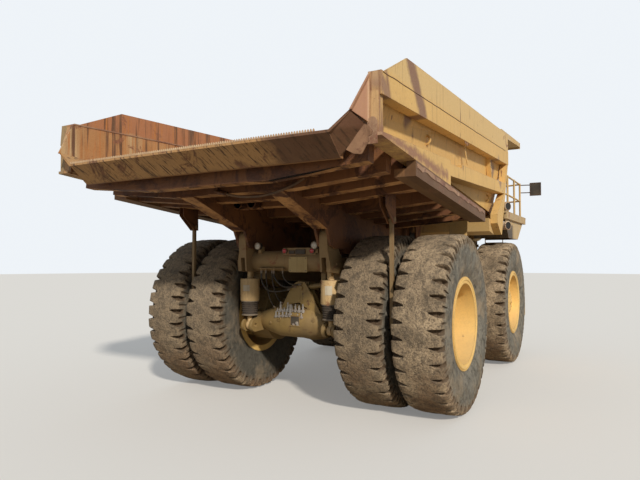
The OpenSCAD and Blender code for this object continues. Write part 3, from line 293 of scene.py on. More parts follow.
# Tyres: radial rock tyres with a worn, closed crown, slanting grooves open at both shoulders, fins down
# the shoulders and plain sidewalls. Moulded rubber, stretched over the rims; one is made and copied.
def object_mode():
    bpy.ops.object.mode_set(mode="OBJECT")


def alone(piece=None):
    """Leaves edit mode and selects nothing, or one piece only."""
    if bpy.context.object and bpy.context.object.mode != "OBJECT":
        object_mode()
    bpy.ops.object.select_all(action="DESELECT")
    if piece:
        piece.select_set(True)
        bpy.context.view_layer.objects.active = piece
    return piece


def join(pieces):
    alone(pieces[0])
    for piece in pieces:
        piece.select_set(True)
    if len(pieces) > 1:
        bpy.ops.object.join()
    return bpy.context.object


def fit(piece, name, body, material, smooth=30):
    """Sets a finished piece, or a list of them joined, in the frame: its place goes into its mesh, and it
    rides on its body."""
    if isinstance(piece, list):
        piece = join(piece)
    alone(piece)
    bpy.ops.object.transform_apply(location=True, rotation=True, scale=True)
    if smooth:
        bpy.ops.object.shade_smooth_by_angle(angle=math.radians(smooth))
    piece.name = name
    piece.data.materials.clear()
    piece.data.materials.append(material)
    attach(piece, body)
    return piece


def copy_of(piece):
    copy = piece.copy()
    copy.data = piece.data.copy()
    bpy.context.scene.collection.objects.link(copy)
    return copy


def edit_all():
    """Enters edit mode with the whole mesh selected."""
    bpy.ops.object.mode_set(mode="EDIT")
    bpy.ops.mesh.select_all(action="SELECT")


def face_outwards():
    """Turns all faces outwards and leaves edit mode."""
    bpy.ops.mesh.select_all(action="SELECT")
    bpy.ops.mesh.normals_make_consistent(inside=False)
    object_mode()


def select_faces(mesh, chosen):
    """In edit mode afterwards, exactly these faces are selected."""
    bpy.ops.object.mode_set(mode="EDIT")
    bpy.ops.mesh.select_mode(type="FACE")
    bpy.ops.mesh.select_all(action="DESELECT")
    object_mode()
    for face in mesh.polygons:
        face.select = face.index in chosen
    bpy.ops.object.mode_set(mode="EDIT")


def bevel_sharp(width, segments, sharp):
    """In edit mode, rounds the edges that are sharper than an angle."""
    bpy.ops.mesh.select_all(action="DESELECT")
    bpy.ops.mesh.select_mode(type="EDGE")
    bpy.ops.mesh.edges_select_sharp(sharpness=math.radians(sharp))
    bpy.ops.mesh.bevel(offset=width, segments=segments, affect="EDGES")


def clamped(value, low=0.0, high=1.0):
    return max(low, min(high, value))


tyre_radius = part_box("front_tyre_left")[1].z / 2
front_axle_x, rear_axle_x = 3.020, -1.630
front_wheel_y, twin_middle_y, twin_tyres_y = 2.100, 1.820, (1.385, 2.255)
lug_count = 36
lug_rows = 8
groove_row, fin_row = 2, 6
groove_depth, fin_depth = 0.075, 0.022
groove_slant = -0.20
tyre_profile = [
    (0.0, 1.330), (0.055, 1.330), (0.11, 1.329), (0.17, 1.327), (0.23, 1.324), (0.285, 1.318), (0.325, 1.307),
    (0.346, 1.275), (0.355, 1.235), (0.360, 1.185), (0.366, 1.120), (0.364, 1.108), (0.369, 1.095), (0.370, 1.020),
    (0.367, 0.930), (0.354, 0.830), (0.330, 0.745), (0.322, 0.738), (0.316, 0.722), (0.296, 0.672), (0.272, 0.632),
    (0.262, 0.600)]
across = [(y, r) for y, r in reversed(tyre_profile)] + [(-y, r) for y, r in tyre_profile[1:]] + [tyre_profile[-1]]
columns = len(across) - 1


def groove_width(y):
    """How far a groove's walls stand apart, in rows: it opens from the crown to the shoulder."""
    return 0.60 + 2.3 * clamped((abs(y) - 0.17) / 0.155) ** 0.8


bpy.ops.object.select_all(action="DESELECT")
bpy.ops.mesh.primitive_grid_add(x_subdivisions=columns, y_subdivisions=lug_rows, size=2)
tyre = bpy.context.object
step = 2 * math.pi / lug_count / lug_rows
face_place = {face.index: (int((face.center.x + 1) / 2 * columns), int((face.center.y + 1) / 2 * lug_rows))
              for face in tyre.data.polygons}
for point in tyre.data.vertices:
    column = round((point.co.x + 1) / 2 * columns)
    row = (point.co.y + 1) / 2 * lug_rows
    y, r = across[column]
    for middle, opening in ((groove_row + 0.5, groove_width(y)), (fin_row + 0.5, 1.1)):
        if abs(row - middle) < 0.6:
            row = middle + (row - middle) * opening
    turn = row * step + groove_slant * clamped(y, -0.33, 0.33) * (1.15 - 1.4 * abs(y))
    point.co = (r * math.cos(turn), y, r * math.sin(turn))


def between(column):
    """The width place and the lower radius of a column of faces."""
    return abs(across[column][0] + across[column + 1][0]) / 2, min(across[column][1], across[column + 1][1])


grooves = {i for i, (c, row) in face_place.items() if row == groove_row and between(c)[1] > 1.18
           and between(c)[0] > 0.15}
fins = {i for i, (c, row) in face_place.items() if row == fin_row and 1.10 < between(c)[1] < 1.27}
edit_all()
bpy.ops.mesh.flip_normals()
object_mode()
for chosen, depth in ((grooves, groove_depth), (fins, fin_depth)):
    select_faces(tyre.data, chosen)
    bpy.ops.mesh.extrude_region_shrink_fatten(TRANSFORM_OT_shrink_fatten={"value": -depth})
    object_mode()
edit_all()
bpy.ops.mesh.normals_make_consistent(inside=False)
bevel_sharp(0.007, 2, 48)
bpy.ops.mesh.select_all(action="SELECT")
bpy.ops.mesh.spin(steps=lug_count - 1, dupli=True, angle=2 * math.pi * (lug_count - 1) / lug_count,
                  center=(0, 0, 0), axis=(0, 1, 0))
bpy.ops.mesh.select_all(action="SELECT")
bpy.ops.mesh.remove_doubles(threshold=0.0008)
face_outwards()
crown_share = tyre.data.attributes.new("crown", "FLOAT", "POINT")
hollow_share = tyre.data.attributes.new("hollow", "FLOAT", "POINT")
crown_line = sorted((y, r) for y, r in tyre_profile if r > 1.1)
for point in tyre.data.vertices:
    r = math.hypot(point.co.x, point.co.z)
    y = abs(point.co.y)
    top = next((r0 + (y - y0) * (r1 - r0) / (y1 - y0 + 1e-9) for (y0, r0), (y1, r1) in zip(crown_line, crown_line[1:])
                if y0 <= y <= y1), 1.12)
    crown_share.data[point.index].value = clamped((r - 1.16) / 0.10)
    hollow_share.data[point.index].value = clamped((top - r - 0.008) / 0.03) if r > 1.15 else 0.0


def worn_tyre(name, dust, sidewall, caked_earth_and_groove_shade, grime, earth):
    """Rubber under dust: 'crown' is 1 on the tread and 0 on the sidewall, 'hollow' is 1 in the grooves, which
    take caked earth and painted groove shade. The right-hand tyres get lighter tread and sidewalls as painted
    sunlight."""
    material, place = new_material(name)
    crown = put(place, "ShaderNodeAttribute", attribute_name="crown").outputs["Fac"]
    hollow = put(place, "ShaderNodeAttribute", attribute_name="hollow").outputs["Fac"]
    clouds = speckle(place, 2.2, 7, 0.65)
    grit = speckle(place, 55, 4, 0.65)
    scuffs = speckle(place, 9, 8, 0.72, 0.6)
    pits = speckle(place, 34, 3, 0.75, 0.4)
    # painted sunlight: the tyres on the right, where the lamp lights them, are painted lighter on tread and sidewall.
    painted_sunlit_side = value_of(part_of(place, "Y"), -1.70, -1.80)
    tread = stained(mixed(painted_sunlit_side, dust, shade(dust, 1.55)), clouds, 0.38, 0.62, shade(dust, 0.80))
    low_down = times(value_of(part_of(place, "Z"), 1.15, 0.35), value_of(clouds, 0.40, 0.55))
    tread = mixed(times(low_down, 0.6), tread, earth)
    tread = stained(tread, scuffs, 0.46, 0.60, (0.085, 0.07, 0.055), 0.6)
    tread = stained(tread, pits, 0.48, 0.62, grime, 0.62)
    side = stained(mixed(painted_sunlit_side, sidewall, shade(sidewall, 1.9)), scuffs, 0.40, 0.66, shade(sidewall, 0.58))
    side = stained(side, clouds, 0.5, 0.68, dust, 0.6)
    colour = mixed(crown, side, tread)
    # caked earth in the grooves, made darker still as painted groove shade.
    colour = mixed(times(hollow, 0.72), colour, caked_earth_and_groove_shade)
    colour = stained(colour, grit, 0.5, 0.75, shade(dust, 0.4), 0.3)
    height = sums("SUBTRACT", sums("ADD", times(scuffs, 0.9), times(grit, 0.5)), times(times(pits, crown), 0.9))
    finish_material(colour, 0.88, height, 1.0, 0.03, 0.0, 0.2)
    return material


tyre_rubber_and_painted_light = worn_tyre("dusty tyre rubber with painted light", (0.38, 0.285, 0.185), (0.125, 0.115, 0.095), (0.115, 0.070, 0.040),
                        (0.085, 0.068, 0.052), (0.30, 0.17, 0.09))
for number, (node, body, x, sides) in enumerate((
        ("front_tyre_left", "front_wheel_left", front_axle_x, [front_wheel_y]),
        ("front_tyre_right", "front_wheel_right", front_axle_x, [-front_wheel_y]),
        ("rear_tyres_left", "rear_wheels_left", rear_axle_x, twin_tyres_y),
        ("rear_tyres_right", "rear_wheels_right", rear_axle_x, [-y for y in twin_tyres_y]))):
    copies = []
    for y in sides:
        copy = copy_of(tyre)
        turn = 0.37 * number + 0.11 * len(copies)
        for point in copy.data.vertices:
            reach = math.hypot(point.co.x, point.co.z)
            if reach > 1.08:
                shift = 0.010 * noise.noise(point.co * 5 + Vector((9 * number, 3 * y, 0))) \
                    + 0.006 * noise.noise(point.co * 17) - 0.008
                point.co.x *= 1 + shift / reach
                point.co.z *= 1 + shift / reach
        half_turn = Matrix.Rotation(math.pi if y < 0 else 0, 4, "Z")
        copy.data.transform(Matrix.Translation((x, y, tyre_radius)) @ Matrix.Rotation(turn, 4, "Y") @ half_turn)
        copies.append(copy)
    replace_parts(fit(copies, node + "_tread", body, tyre_rubber_and_painted_light, 50), node)
bpy.data.objects.remove(tyre)


# Hose ends: a six-sided nut and a grooved sleeve of dull steel, turned, and crimped onto each end of each
# hose. The paint rules for all old metal on the truck are set here too.
def turned(profile, sides=32):
    """Turns a profile of (radius, height) points about Z: a circle is extruded up it and its ends closed."""
    alone()
    bpy.ops.mesh.primitive_circle_add(vertices=sides, radius=profile[0][0], location=(0, 0, 0))
    piece = bpy.context.object
    edit_all()
    bpy.ops.transform.translate(value=(0, 0, profile[0][1]))
    for (r0, z0), (r1, z1) in zip(profile, profile[1:]):
        bpy.ops.mesh.extrude_edges_move(TRANSFORM_OT_translate={"value": (0, 0, z1 - z0)})
        bpy.ops.transform.resize(value=(r1 / r0, r1 / r0, 1), center_override=(0, 0, 0))
    bpy.ops.mesh.select_all(action="SELECT")
    bpy.ops.mesh.remove_doubles(threshold=0.00001)
    bpy.ops.mesh.fill_holes(sides=0)
    face_outwards()
    return piece


def scaled(size, profile, sides=32):
    """Turns a profile given in parts of size."""
    return turned([(size * r, size * z) for r, z in profile], sides)


def repeated(pattern, places):
    """Copies a small pattern piece, made at the origin along Z, to each (point, direction), as one mesh."""
    alone(pattern)
    bpy.ops.object.transform_apply(location=True, rotation=True, scale=True)
    copies = []
    for point, direction in places:
        copies.append(copy_of(pattern))
        turn = Vector(direction).to_track_quat("Z", "Y").to_matrix().to_4x4()
        copies[-1].data.transform(Matrix.Translation(Vector(point)) @ turn)
    bpy.data.objects.remove(pattern)
    return join(copies)


def worn_paint(name, paint, faded, rust=(0.16, 0.065, 0.03), rust_from=0.60, streaks=0.35, dust=(0.36, 0.27, 0.17),
               dusty=0.5, mud_top=None, edges=0.6, roughness=0.62, grain=1.0, runs_along=(9, 9, 0.55),
               runs_turn=(0, 0, 0), zones=()):
    """Old machine paint: blotched colour, rust in patches, streaks and edges, dust where it can lie.
    zones are (mask, colour): a mask takes the place and gives a grey value. mud_top is how high mud splashes."""
    material, place = new_material(name)
    colour = stained(paint, speckle(place, 0.9 * grain, 6, 0.6), 0.38, 0.62, faded)
    for mask, zone_colour in zones:
        colour = mixed(mask(place), colour, zone_colour)
    fine = speckle(place, 38 * grain, 3, 0.6)
    colour = stained(colour, fine, 0.45, 0.75, shade(paint, 0.55), 0.22)
    long = put(place, "ShaderNodeMapping", Vector=place, Rotation=runs_turn, Scale=runs_along).outputs[0]
    colour = stained(colour, speckle(long, 1.6 * grain, 5, 0.7, 0.3), 0.55, 0.72, rust, streaks)
    rusted = value_of(speckle(place, 2.1 * grain, 9, 0.72, 0.7), rust_from, rust_from + 0.06)
    rust_colour = stained(rust, speckle(place, 14 * grain, 5, 0.7), 0.35, 0.65, shade(rust, 2.1))
    colour = mixed(rusted, colour, rust_colour)
    leaning = put(place, "ShaderNodeVectorMath", operation="DOT_PRODUCT")
    plug(leaning.inputs[0], put(place, "ShaderNodeBevel", samples=3, Radius=0.02).outputs[0])
    plug(leaning.inputs[1], put(place, "ShaderNodeNewGeometry").outputs["True Normal"])
    corner = value_of(leaning.outputs["Value"], 0.97, 0.80)
    chips = times(value_of(speckle(place, 11 * grain, 6, 0.7), 0.38, 0.6), edges)
    colour = mixed(times(corner, chips), colour, rust_colour)
    colour = stained(colour, speckle(place, 3.3 * grain, 7, 0.65), 0.35, 0.7, dust, 0.55 * dusty)
    colour = stained(colour, facing(place, "Z"), 0.25, 0.9, dust, dusty)
    if mud_top is not None:
        splashed = times(value_of(part_of(place, "Z"), mud_top, mud_top - 1.3),
                         value_of(speckle(place, 2.6, 8, 0.7), 0.25, 0.6))
        colour = mixed(times(splashed, 0.85), colour, shade(dust, 0.72))
    finish_material(colour, roughness, sums("ADD", times(rusted, 0.5), fine), 0.25, 0.012)
    return material


steel = worn_paint("dull steel", (0.20, 0.185, 0.165), (0.27, 0.24, 0.20), rust_from=0.56, mud_top=2.2)
ends = []
for radius, places in hose_ends.values():
    sleeve = turned([(radius + wider, z) for wider, z in (
        (0, 0.0), (0.003, 0.001), (0.004, 0.016), (0.002, 0.018), (0.004, 0.020), (0.002, 0.028), (0.004, 0.030),
        (0.003, 0.044), (-0.001, 0.045))], 20)
    nut = turned([(radius, -0.002), (radius + 0.007, 0.0), (radius + 0.007, 0.014), (radius, 0.016)], 6)
    ends.append(repeated(join([sleeve, nut]), places))
fit(ends, "hose_ends", "chassis", steel)


# Wheel rims: pressed and welded steel with a deep dish, painted. The dish is bolted to the planetary
# hub; a loose lock ring holds the outer bead, and a bent valve stem comes through the dish.
def dress(names, material, edge=0.006):
    """Gives CAD nodes their finish and a small round on their edges."""
    for name in names:
        node = nodes[name]
        node.data.materials.clear()
        node.data.materials.append(material)
        weld = node.modifiers.new("weld", "WELD")
        weld.merge_threshold = 0.0002
        if edge:
            round_off = node.modifiers.new("edges", "BEVEL")
            round_off.width = edge
            round_off.segments = 2
            round_off.limit_method = "ANGLE"
            round_off.angle_limit = math.radians(38)


def hexagon_bolt(size):
    """A hexagon head on its washer, standing on the origin; size is the washer's radius."""
    return join([scaled(size, [(0.55, -0.05), (1, -0.05), (1, 0.22), (0.9, 0.28), (0.5, 0.28)], 14),
                 scaled(size, [(0.7, 0.2), (0.7, 0.85), (0.6, 0.95), (0.2, 0.98)], 6)])


def around(centre, radius, count, axis="Y"):
    """Points on a circle about an axis through centre."""
    found = []
    for i in range(count):
        a = 2 * math.pi * i / count
        c, s = radius * math.cos(a), radius * math.sin(a)
        found.append(Vector(centre) + Vector((c, 0, s) if axis == "Y" else (0, c, s)))
    return found


def rod(route, radius, handles="AUTO"):
    """A bent rod as a mesh."""
    alone(bent_rod("rod", route, radius, handles))
    bpy.ops.object.convert(target="MESH")
    return bpy.context.object


rim_paint = worn_paint("rim paint", (0.88, 0.57, 0.18), (0.70, 0.45, 0.15), rust=(0.13, 0.06, 0.025), dusty=0.35,
                       rust_from=0.63, streaks=0.15, edges=0.8)
dress(["front_rim_left", "front_rim_right", "rear_rims_left", "rear_rims_right"], rim_paint, edge=0.008)
single_rim = {
    "circles": [(0.450, 0.094, 20, 0.028), (0.276, 0.089, 16, 0.022), (0.185, 0.234, 10, 0.014)],
    "lip": [(0.232, 0.150), (0.250, 0.152), (0.250, 0.172), (0.232, 0.176), (0.232, 0.150)],
    "mouth": 0.3164, "plug": 0.249, "stem": 0.10}
twin_rim = {
    "circles": [(0.515, 0.094, 24, 0.030), (0.385, 0.229, 20, 0.022), (0.275, 0.346, 12, 0.016)],
    "lip": [(0.345, 0.236), (0.362, 0.240), (0.362, 0.262), (0.345, 0.268), (0.345, 0.236)],
    "mouth": 0.435 + 0.3164, "plug": 0.374, "stem": 0.096}
for node, body, x, y, out, form in (
        ("front_rim_left", "front_wheel_left", front_axle_x, front_wheel_y, 1, single_rim),
        ("front_rim_right", "front_wheel_right", front_axle_x, front_wheel_y, -1, single_rim),
        ("rear_rims_left", "rear_wheels_left", rear_axle_x, twin_middle_y, 1, twin_rim),
        ("rear_rims_right", "rear_wheels_right", rear_axle_x, twin_middle_y, -1, twin_rim)):
    face = Vector((0, out, 0))
    middle = Vector((x, out * y, tyre_radius))
    mouth, plug_height = form["mouth"], form["plug"]
    nuts = [repeated(hexagon_bolt(size), [(p + face * stand, face) for p in around(middle, radius, count)])
            for radius, stand, count, size in form["circles"]]
    fit(nuts, node + "_bolts", body, rim_paint)
    lock = turned([(r, mouth + z) for r, z in (
        (0.628, -0.02), (0.668, -0.004), (0.672, 0.006), (0.660, 0.013), (0.640, 0.010), (0.628, -0.004),
        (0.628, -0.02))], 96)
    cap = turned([(r, plug_height + z) for r, z in (
        (0.055, -0.006), (0.055, 0.010), (0.048, 0.016), (0.020, 0.016), (0.018, 0.030), (0.004, 0.031))], 24)
    fit(repeated(join([lock, turned(form["lip"], 64), cap]), [(middle, face)]), node + "_lock_ring", body,
        rim_paint, 40)
    foot = middle + Vector((0.30, 0, 0.49)) + face * form["stem"]
    stem = rod([foot, foot + face * 0.05, foot + face * 0.09 + Vector((-0.02, 0, 0.025)),
                foot + face * 0.15 + Vector((-0.03, 0, 0.055))], 0.008)
    fit(stem, node + "_valve_stem", body, steel)


# Frame: two welded box rails with cross boxes, and the round tube between the bed's ears and the
# struts. Mild steel plate, painted once, now under dried mud. The tube carries a bare number plate.
def cut_plate(outline, thickness, edge=0.002, x=None, y=None):
    """A flat plate across X at x, or across Y at y; its outline is given in the other two coordinates."""
    alone()
    bpy.ops.mesh.primitive_circle_add(vertices=len(outline), radius=1, fill_type="NGON")
    plate = bpy.context.object
    for point, (along, z) in zip(plate.data.vertices, outline):
        point.co = (along, y, z) if x is None else (x, along, z)
    edit_all()
    bpy.ops.mesh.extrude_region_move(TRANSFORM_OT_translate={
        "value": (0, thickness, 0) if x is None else (thickness, 0, 0)})
    face_outwards()
    if edge:
        alone(plate)
        bpy.ops.object.mode_set(mode="EDIT")
        bevel_sharp(edge, 1, 40)
        object_mode()
    return plate


def box_of(low, high, z0, z1):
    """The outline of an upright rectangle."""
    return [(low, z0), (high, z0), (high, z1), (low, z1)]


def crumple(piece, cuts, amount, scale=5.0):
    """Divides a plate and pushes its points about, as dents and bends do, the same way in each run."""
    shifts = [Vector(v) for v in ((9.321, -1.531, -7.951), (0, 0, 0), (6.327, 0.167, -2.672))]
    alone(piece)
    edit_all()
    bpy.ops.mesh.quads_convert_to_tris()
    bpy.ops.mesh.subdivide(number_cuts=cuts)
    object_mode()
    for point in piece.data.vertices:
        point.co += amount * Vector([noise.noise(point.co * scale + shift) for shift in shifts])
    return piece


def seat_on(node, start, towards):
    """Where a straight line from start first meets a CAD node, and the way that its face looks."""
    hit, point, normal, _ = nodes[node].ray_cast(Vector(start), Vector(towards).normalized())
    return (point, normal) if hit else (Vector(start), -Vector(towards).normalized())


frame_paint = worn_paint("muddy frame paint", (0.33, 0.21, 0.085), (0.24, 0.155, 0.075), mud_top=2.4, rust_from=0.58,
                         dust=(0.30, 0.215, 0.12))
dress(["frame_rail_left", "frame_rail_right", "crossmembers", "knuckle_left", "knuckle_right", "tie_rod"], frame_paint)
plate_paint = worn_paint("scratched plate paint", (0.50, 0.38, 0.17), (0.40, 0.28, 0.12), dusty=0.3)
tube_x, tube_radius = -2.36, 0.165
plate_x = tube_x - tube_radius - 0.006
number_plate = cut_plate([(-0.385, 2.075), (-0.06, 2.075), (-0.05, 2.085), (-0.05, 2.305), (-0.06, 2.315),
                          (-0.385, 2.315)], 0.008, x=plate_x)
fit(crumple(number_plate, 3, 0.003), "number_plate_bare", "chassis", plate_paint)
screws = [((plate_x, y, z), (-1, 0, 0)) for y in (-0.36, -0.075) for z in (2.10, 2.29)]
fit(repeated(hexagon_bolt(0.010), screws), "number_plate_screws", "chassis", steel)
junction = [cut_plate(box_of(*sides), 0.03, 0.005, x=-2.522)
            for sides in ((-0.34, -0.16, 2.352, 2.43), (-0.14, -0.04, 2.36, 2.415))]
black_paint = worn_paint("dusty black", (0.022, 0.021, 0.02), (0.04, 0.035, 0.03), dusty=0.35, rust_from=0.75,
                         streaks=0.1)
fit(junction, "lamp_wiring_boxes", "chassis", black_paint)


# Axle: one cast banjo housing with wheel spindles, and a rounded cross casting that takes the struts'
# feet. It has a square port, screwed bosses and the fittings where the hoses end. Oily yellow paint.
axle_paint = worn_paint("oily axle paint", (0.33, 0.215, 0.065), (0.235, 0.155, 0.065), rust=(0.075, 0.036, 0.018),
                        dusty=0.35, mud_top=1.30, rust_from=0.57, dust=(0.27, 0.19, 0.10), roughness=0.5)
dress(["rear_axle_housing", "axle_links"], axle_paint, edge=0.010)
port_frame = [cut_plate(box_of(*sides), 0.03, 0.004, x=-2.415) for sides in (
    (-0.185, 0.005, 1.375, 1.395), (-0.185, 0.005, 1.235, 1.215), (-0.185, -0.165, 1.255, 1.375),
    (-0.015, 0.005, 1.255, 1.375))]
fit(port_frame, "axle_port_frame", "chassis", axle_paint)
fit(cut_plate(box_of(-0.167, -0.013, 1.253, 1.377), 0.01, 0, x=-2.4135), "axle_port", "chassis",
    black_paint)
plugs = []
for y, z, size in ((0.22, 1.32, 0.042), (-0.40, 1.33, 0.034), (-0.54, 1.34, 0.040), (0.40, 1.25, 0.026)):
    boss = turned([(size, -0.02), (size, 0.006), (0.85 * size, 0.012), (0.6 * size, 0.012), (0.55 * size, 0.004),
                   (0.2 * size, 0.004)], 20)
    head = turned([(0.40 * size, 0.0), (0.40 * size, 0.016), (0.1 * size, 0.018)], 6)
    plugs.append(repeated(join([boss, head]), [seat_on("rear_axle_housing", (-3.2, y, z), (1, 0, 0))]))
fit(plugs, "axle_bosses", "chassis", axle_paint)
fittings = []
for i, (y, height, size) in enumerate(((-0.20, 0.135, 0.026), (-0.13, 0.175, 0.030), (-0.06, 0.120, 0.026),
                                       (0.01, 0.190, 0.028), (0.08, 0.145, 0.030), (0.15, 0.115, 0.024),
                                       (0.22, 0.160, 0.028), (0.28, 0.095, 0.024))):
    for row, x in enumerate((-2.350, -2.395)):
        tall = height * (1.0 if row == i % 2 else 0.6)
        stack = [turned([(r * size, z * tall) for r, z in profile], sides) for profile, sides in (
            ([(1, -0.004 / tall), (1, 0.3), (0.6, 0.34), (0.6, 0.7), (0.4, 0.72), (0.4, 1), (0.1, 1)], 16),
            ([(1.25, 0.1), (1.25, 0.26), (0.5, 0.27)], 6))]
        foot, _ = seat_on("rear_axle_housing", (x, y, 2.4), (0, 0, -1))
        fittings.append(repeated(join(stack), [(foot, (0, 0, 1))]))
grey_fitting = worn_paint("grey fittings", (0.36, 0.35, 0.33), (0.24, 0.22, 0.19), dusty=0.35, rust_from=0.62)
fit(fittings, "axle_valve_fittings", "chassis", grey_fitting, 35)
cover_bolts = [(p, (-1, 0, 0)) for p in around((-1.33, 0, 1.40), 0.145, 10, "X")]
fit(repeated(hexagon_bolt(0.014), cover_bolts), "axle_cover_bolts", "chassis", steel)


# Rear struts: a forged barrel over a rubber boot in soft folds, pinned in the tube's ears above and in
# the axle's forks below. A clamp holds the boot; each barrel carries a bare label plate.
strut_paint = worn_paint("strut paint", (0.66, 0.45, 0.21), (0.54, 0.37, 0.18), dusty=0.4, rust_from=0.58, streaks=0.5)
dress(["rear_struts", "front_struts"], strut_paint)
boot_rubber = dusty_rubber("boot rubber", (0.035, 0.028, 0.024), (0.15, 0.11, 0.075), 0.55)
strut_x, strut_ys = -2.45, (-0.76, 0.76)
upright_struts = [((strut_x, y, 0), (0, 0, 1)) for y in strut_ys]
folds = [(0.110, 1.352), (0.118, 1.356)]
for i in range(7):
    folds += [(r + 0.002 * i, 1.366 + 0.033 * i + z)
              for r, z in ((0.117, 0.0), (0.130, 0.012), (0.128, 0.021), (0.117, 0.030))]
fit(repeated(turned(folds + [(0.128, 1.5985), (0.10, 1.5990)], 40), upright_struts), "strut_boots", "chassis",
    boot_rubber, 60)
clamps = [repeated(turned([(wide - 0.02, z - 0.008), (wide, z - 0.008), (wide, z + 0.008), (wide - 0.02, z + 0.008),
                           (wide - 0.02, z - 0.008)], 40), upright_struts)
          for wide, z in ((0.1335, 1.372), (0.1445, 1.590))]
fit(clamps, "boot_clamps", "chassis", steel, 40)
label_paint = worn_paint("faded label plate", (0.62, 0.55, 0.42), (0.50, 0.42, 0.30), dusty=0.3, rust_from=0.64)
label_radius = 0.1580
labels = []
for y, z0, z1 in ((strut_ys[0], 1.74, 1.88), (strut_ys[1], 1.76, 1.86)):
    alone()
    bpy.ops.mesh.primitive_grid_add(x_subdivisions=8, y_subdivisions=2, size=1)
    label = bpy.context.object
    for point in label.data.vertices:
        angle = math.pi + 0.25 + point.co.x * 0.72
        point.co = (strut_x + label_radius * math.cos(angle), y + label_radius * math.sin(angle),
                    (z0 + z1) / 2 + point.co.y * (z1 - z0))
    wall = label.modifiers.new("wall", "SOLIDIFY")
    wall.thickness = 0.003
    wall.offset = 1.0
    alone(label)
    bpy.ops.object.modifier_apply(modifier="wall")
    labels.append(label)
fit(labels, "strut_label_plates_bare", "chassis", label_paint, 40)
dress(["engine_block", "drive_line", "hoist_stages", "hoist_rods"], steel)


# Lamps: pressed steel cups with glass lenses, two red and two white at the tail, four white in the
# bumper. Screwed to their brackets, some lenses cloudy.
def lens_glass(name, colour, depth_colour):
    material, place = new_material(name)
    ribs = put(place, "ShaderNodeTexWave", Vector=place, Scale=22.0, bands_direction="Y").outputs["Fac"]
    colour = stained(colour, speckle(place, 16), 0.35, 0.65, depth_colour)
    colour = stained(colour, speckle(place, 60, 3), 0.5, 0.7, (0.22, 0.16, 0.10), 0.3)
    finish_material(colour, 0.22, ribs, 0.25, 0.002, 0.0, 0.5)
    return material


white_lens = lens_glass("white lamp glass", (0.72, 0.66, 0.56), (0.50, 0.45, 0.38))
red_lens = lens_glass("red lamp glass", (0.62, 0.035, 0.045), (0.40, 0.02, 0.03))
dress(["lamps"], black_paint, edge=0.004)


def lens(radius, crown):
    return turned([(r * radius, z * crown) for r, z in (
        (1, 0), (0.97, 0.25), (0.80, 0.66), (0.55, 0.88), (0.25, 0.98), (0.05, 1))])


def bezel(radius, deep):
    return turned([(radius, -0.004), (1.06 * radius, -0.002), (1.08 * radius, deep), (1.02 * radius, deep + 0.004),
                   (0.92 * radius, deep), (0.92 * radius, -0.004), (radius, -0.004)], 36)


tail_whites = [((-2.560, y, 2.487), (-1, 0, 0)) for y in (-0.530, 0.530)]
tail_reds = [((-2.530, y, 2.405), (-1, 0, 0)) for y in (-0.470, 0.030)]
front_whites = [((4.872, y, 1.110), (1, 0, 0)) for y in (-1.75, -1.50, 1.50, 1.75)]
fit([repeated(lens(0.052, 0.016), tail_whites), repeated(lens(0.084, 0.008), front_whites)],
    "white_lamp_glasses", "chassis", white_lens, 60)
fit(repeated(lens(0.038, 0.014), tail_reds), "red_lamp_glasses", "chassis", red_lens, 60)
fit([repeated(bezel(0.056, 0.008), tail_whites), repeated(bezel(0.040, 0.008), tail_reds),
     repeated(bezel(0.086, 0.004), front_whites)], "lamp_bezels", "chassis", steel, 40)


# Bed floor: wear plate with its tail folded down, scraped and rusted. The tail plate is scored in slanting
# lines, tan on the left and nearly black at the right corner. A row of hard weld beads guards the lip.
def wander(place, scale, amount):
    """A slow random offset, up to amount each way."""
    return times(sums("SUBTRACT", speckle(place, scale, 7, 0.7), 0.5), 2 * amount)


def band(start, end, width, ragged=0.12, coarse=3.0):
    """A mask that is 1 on a ragged band in the XZ plane, from one point to another."""
    def mask(place):
        run = Vector(end) - Vector(start)
        turn = math.atan2(run.y, run.x)
        c, s = math.cos(turn), math.sin(turn)
        local = put(place, "ShaderNodeMapping", Vector=place, Rotation=(0, turn, 0),
                    Location=(-start[0] * c - start[1] * s, 0, start[0] * s - start[1] * c)).outputs[0]
        off = sums("ADD", sums("ABSOLUTE", part_of(local, "Z")), wander(place, coarse, ragged))
        along = sums("ABSOLUTE", sums("SUBTRACT", part_of(local, "X"), run.length / 2))
        return times(value_of(off, width / 2 + 0.03, width / 2 - 0.05),
                     value_of(along, run.length / 2 + 0.03, run.length / 2 - 0.06))
    return mask


def within(axis, low, high, soft=0.05, ragged=0.0):
    """A mask that is 1 between two places along an axis."""
    def mask(place):
        part = part_of(place, axis)
        if ragged:
            part = sums("ADD", part, wander(place, 3.5, ragged))
        return times(value_of(part, low - soft, low + soft), value_of(part, high + soft, high - soft))
    return mask


def both(first, second):
    return lambda place: times(first(place), second(place))


def scored(along, low, high, scale=1.0, lean=0):
    """A mask of thin broken lines: place is turned by lean degrees about X, then squeezed along Z."""
    def mask(place):
        local = put(place, "ShaderNodeMapping", vector_type="TEXTURE", Vector=place,
                    Rotation=(-math.radians(lean), 0, 0), Scale=tuple(1 / a for a in along)).outputs[0]
        return value_of(speckle(local, scale, 4, 0.6, 0.2), low, high)
    return mask


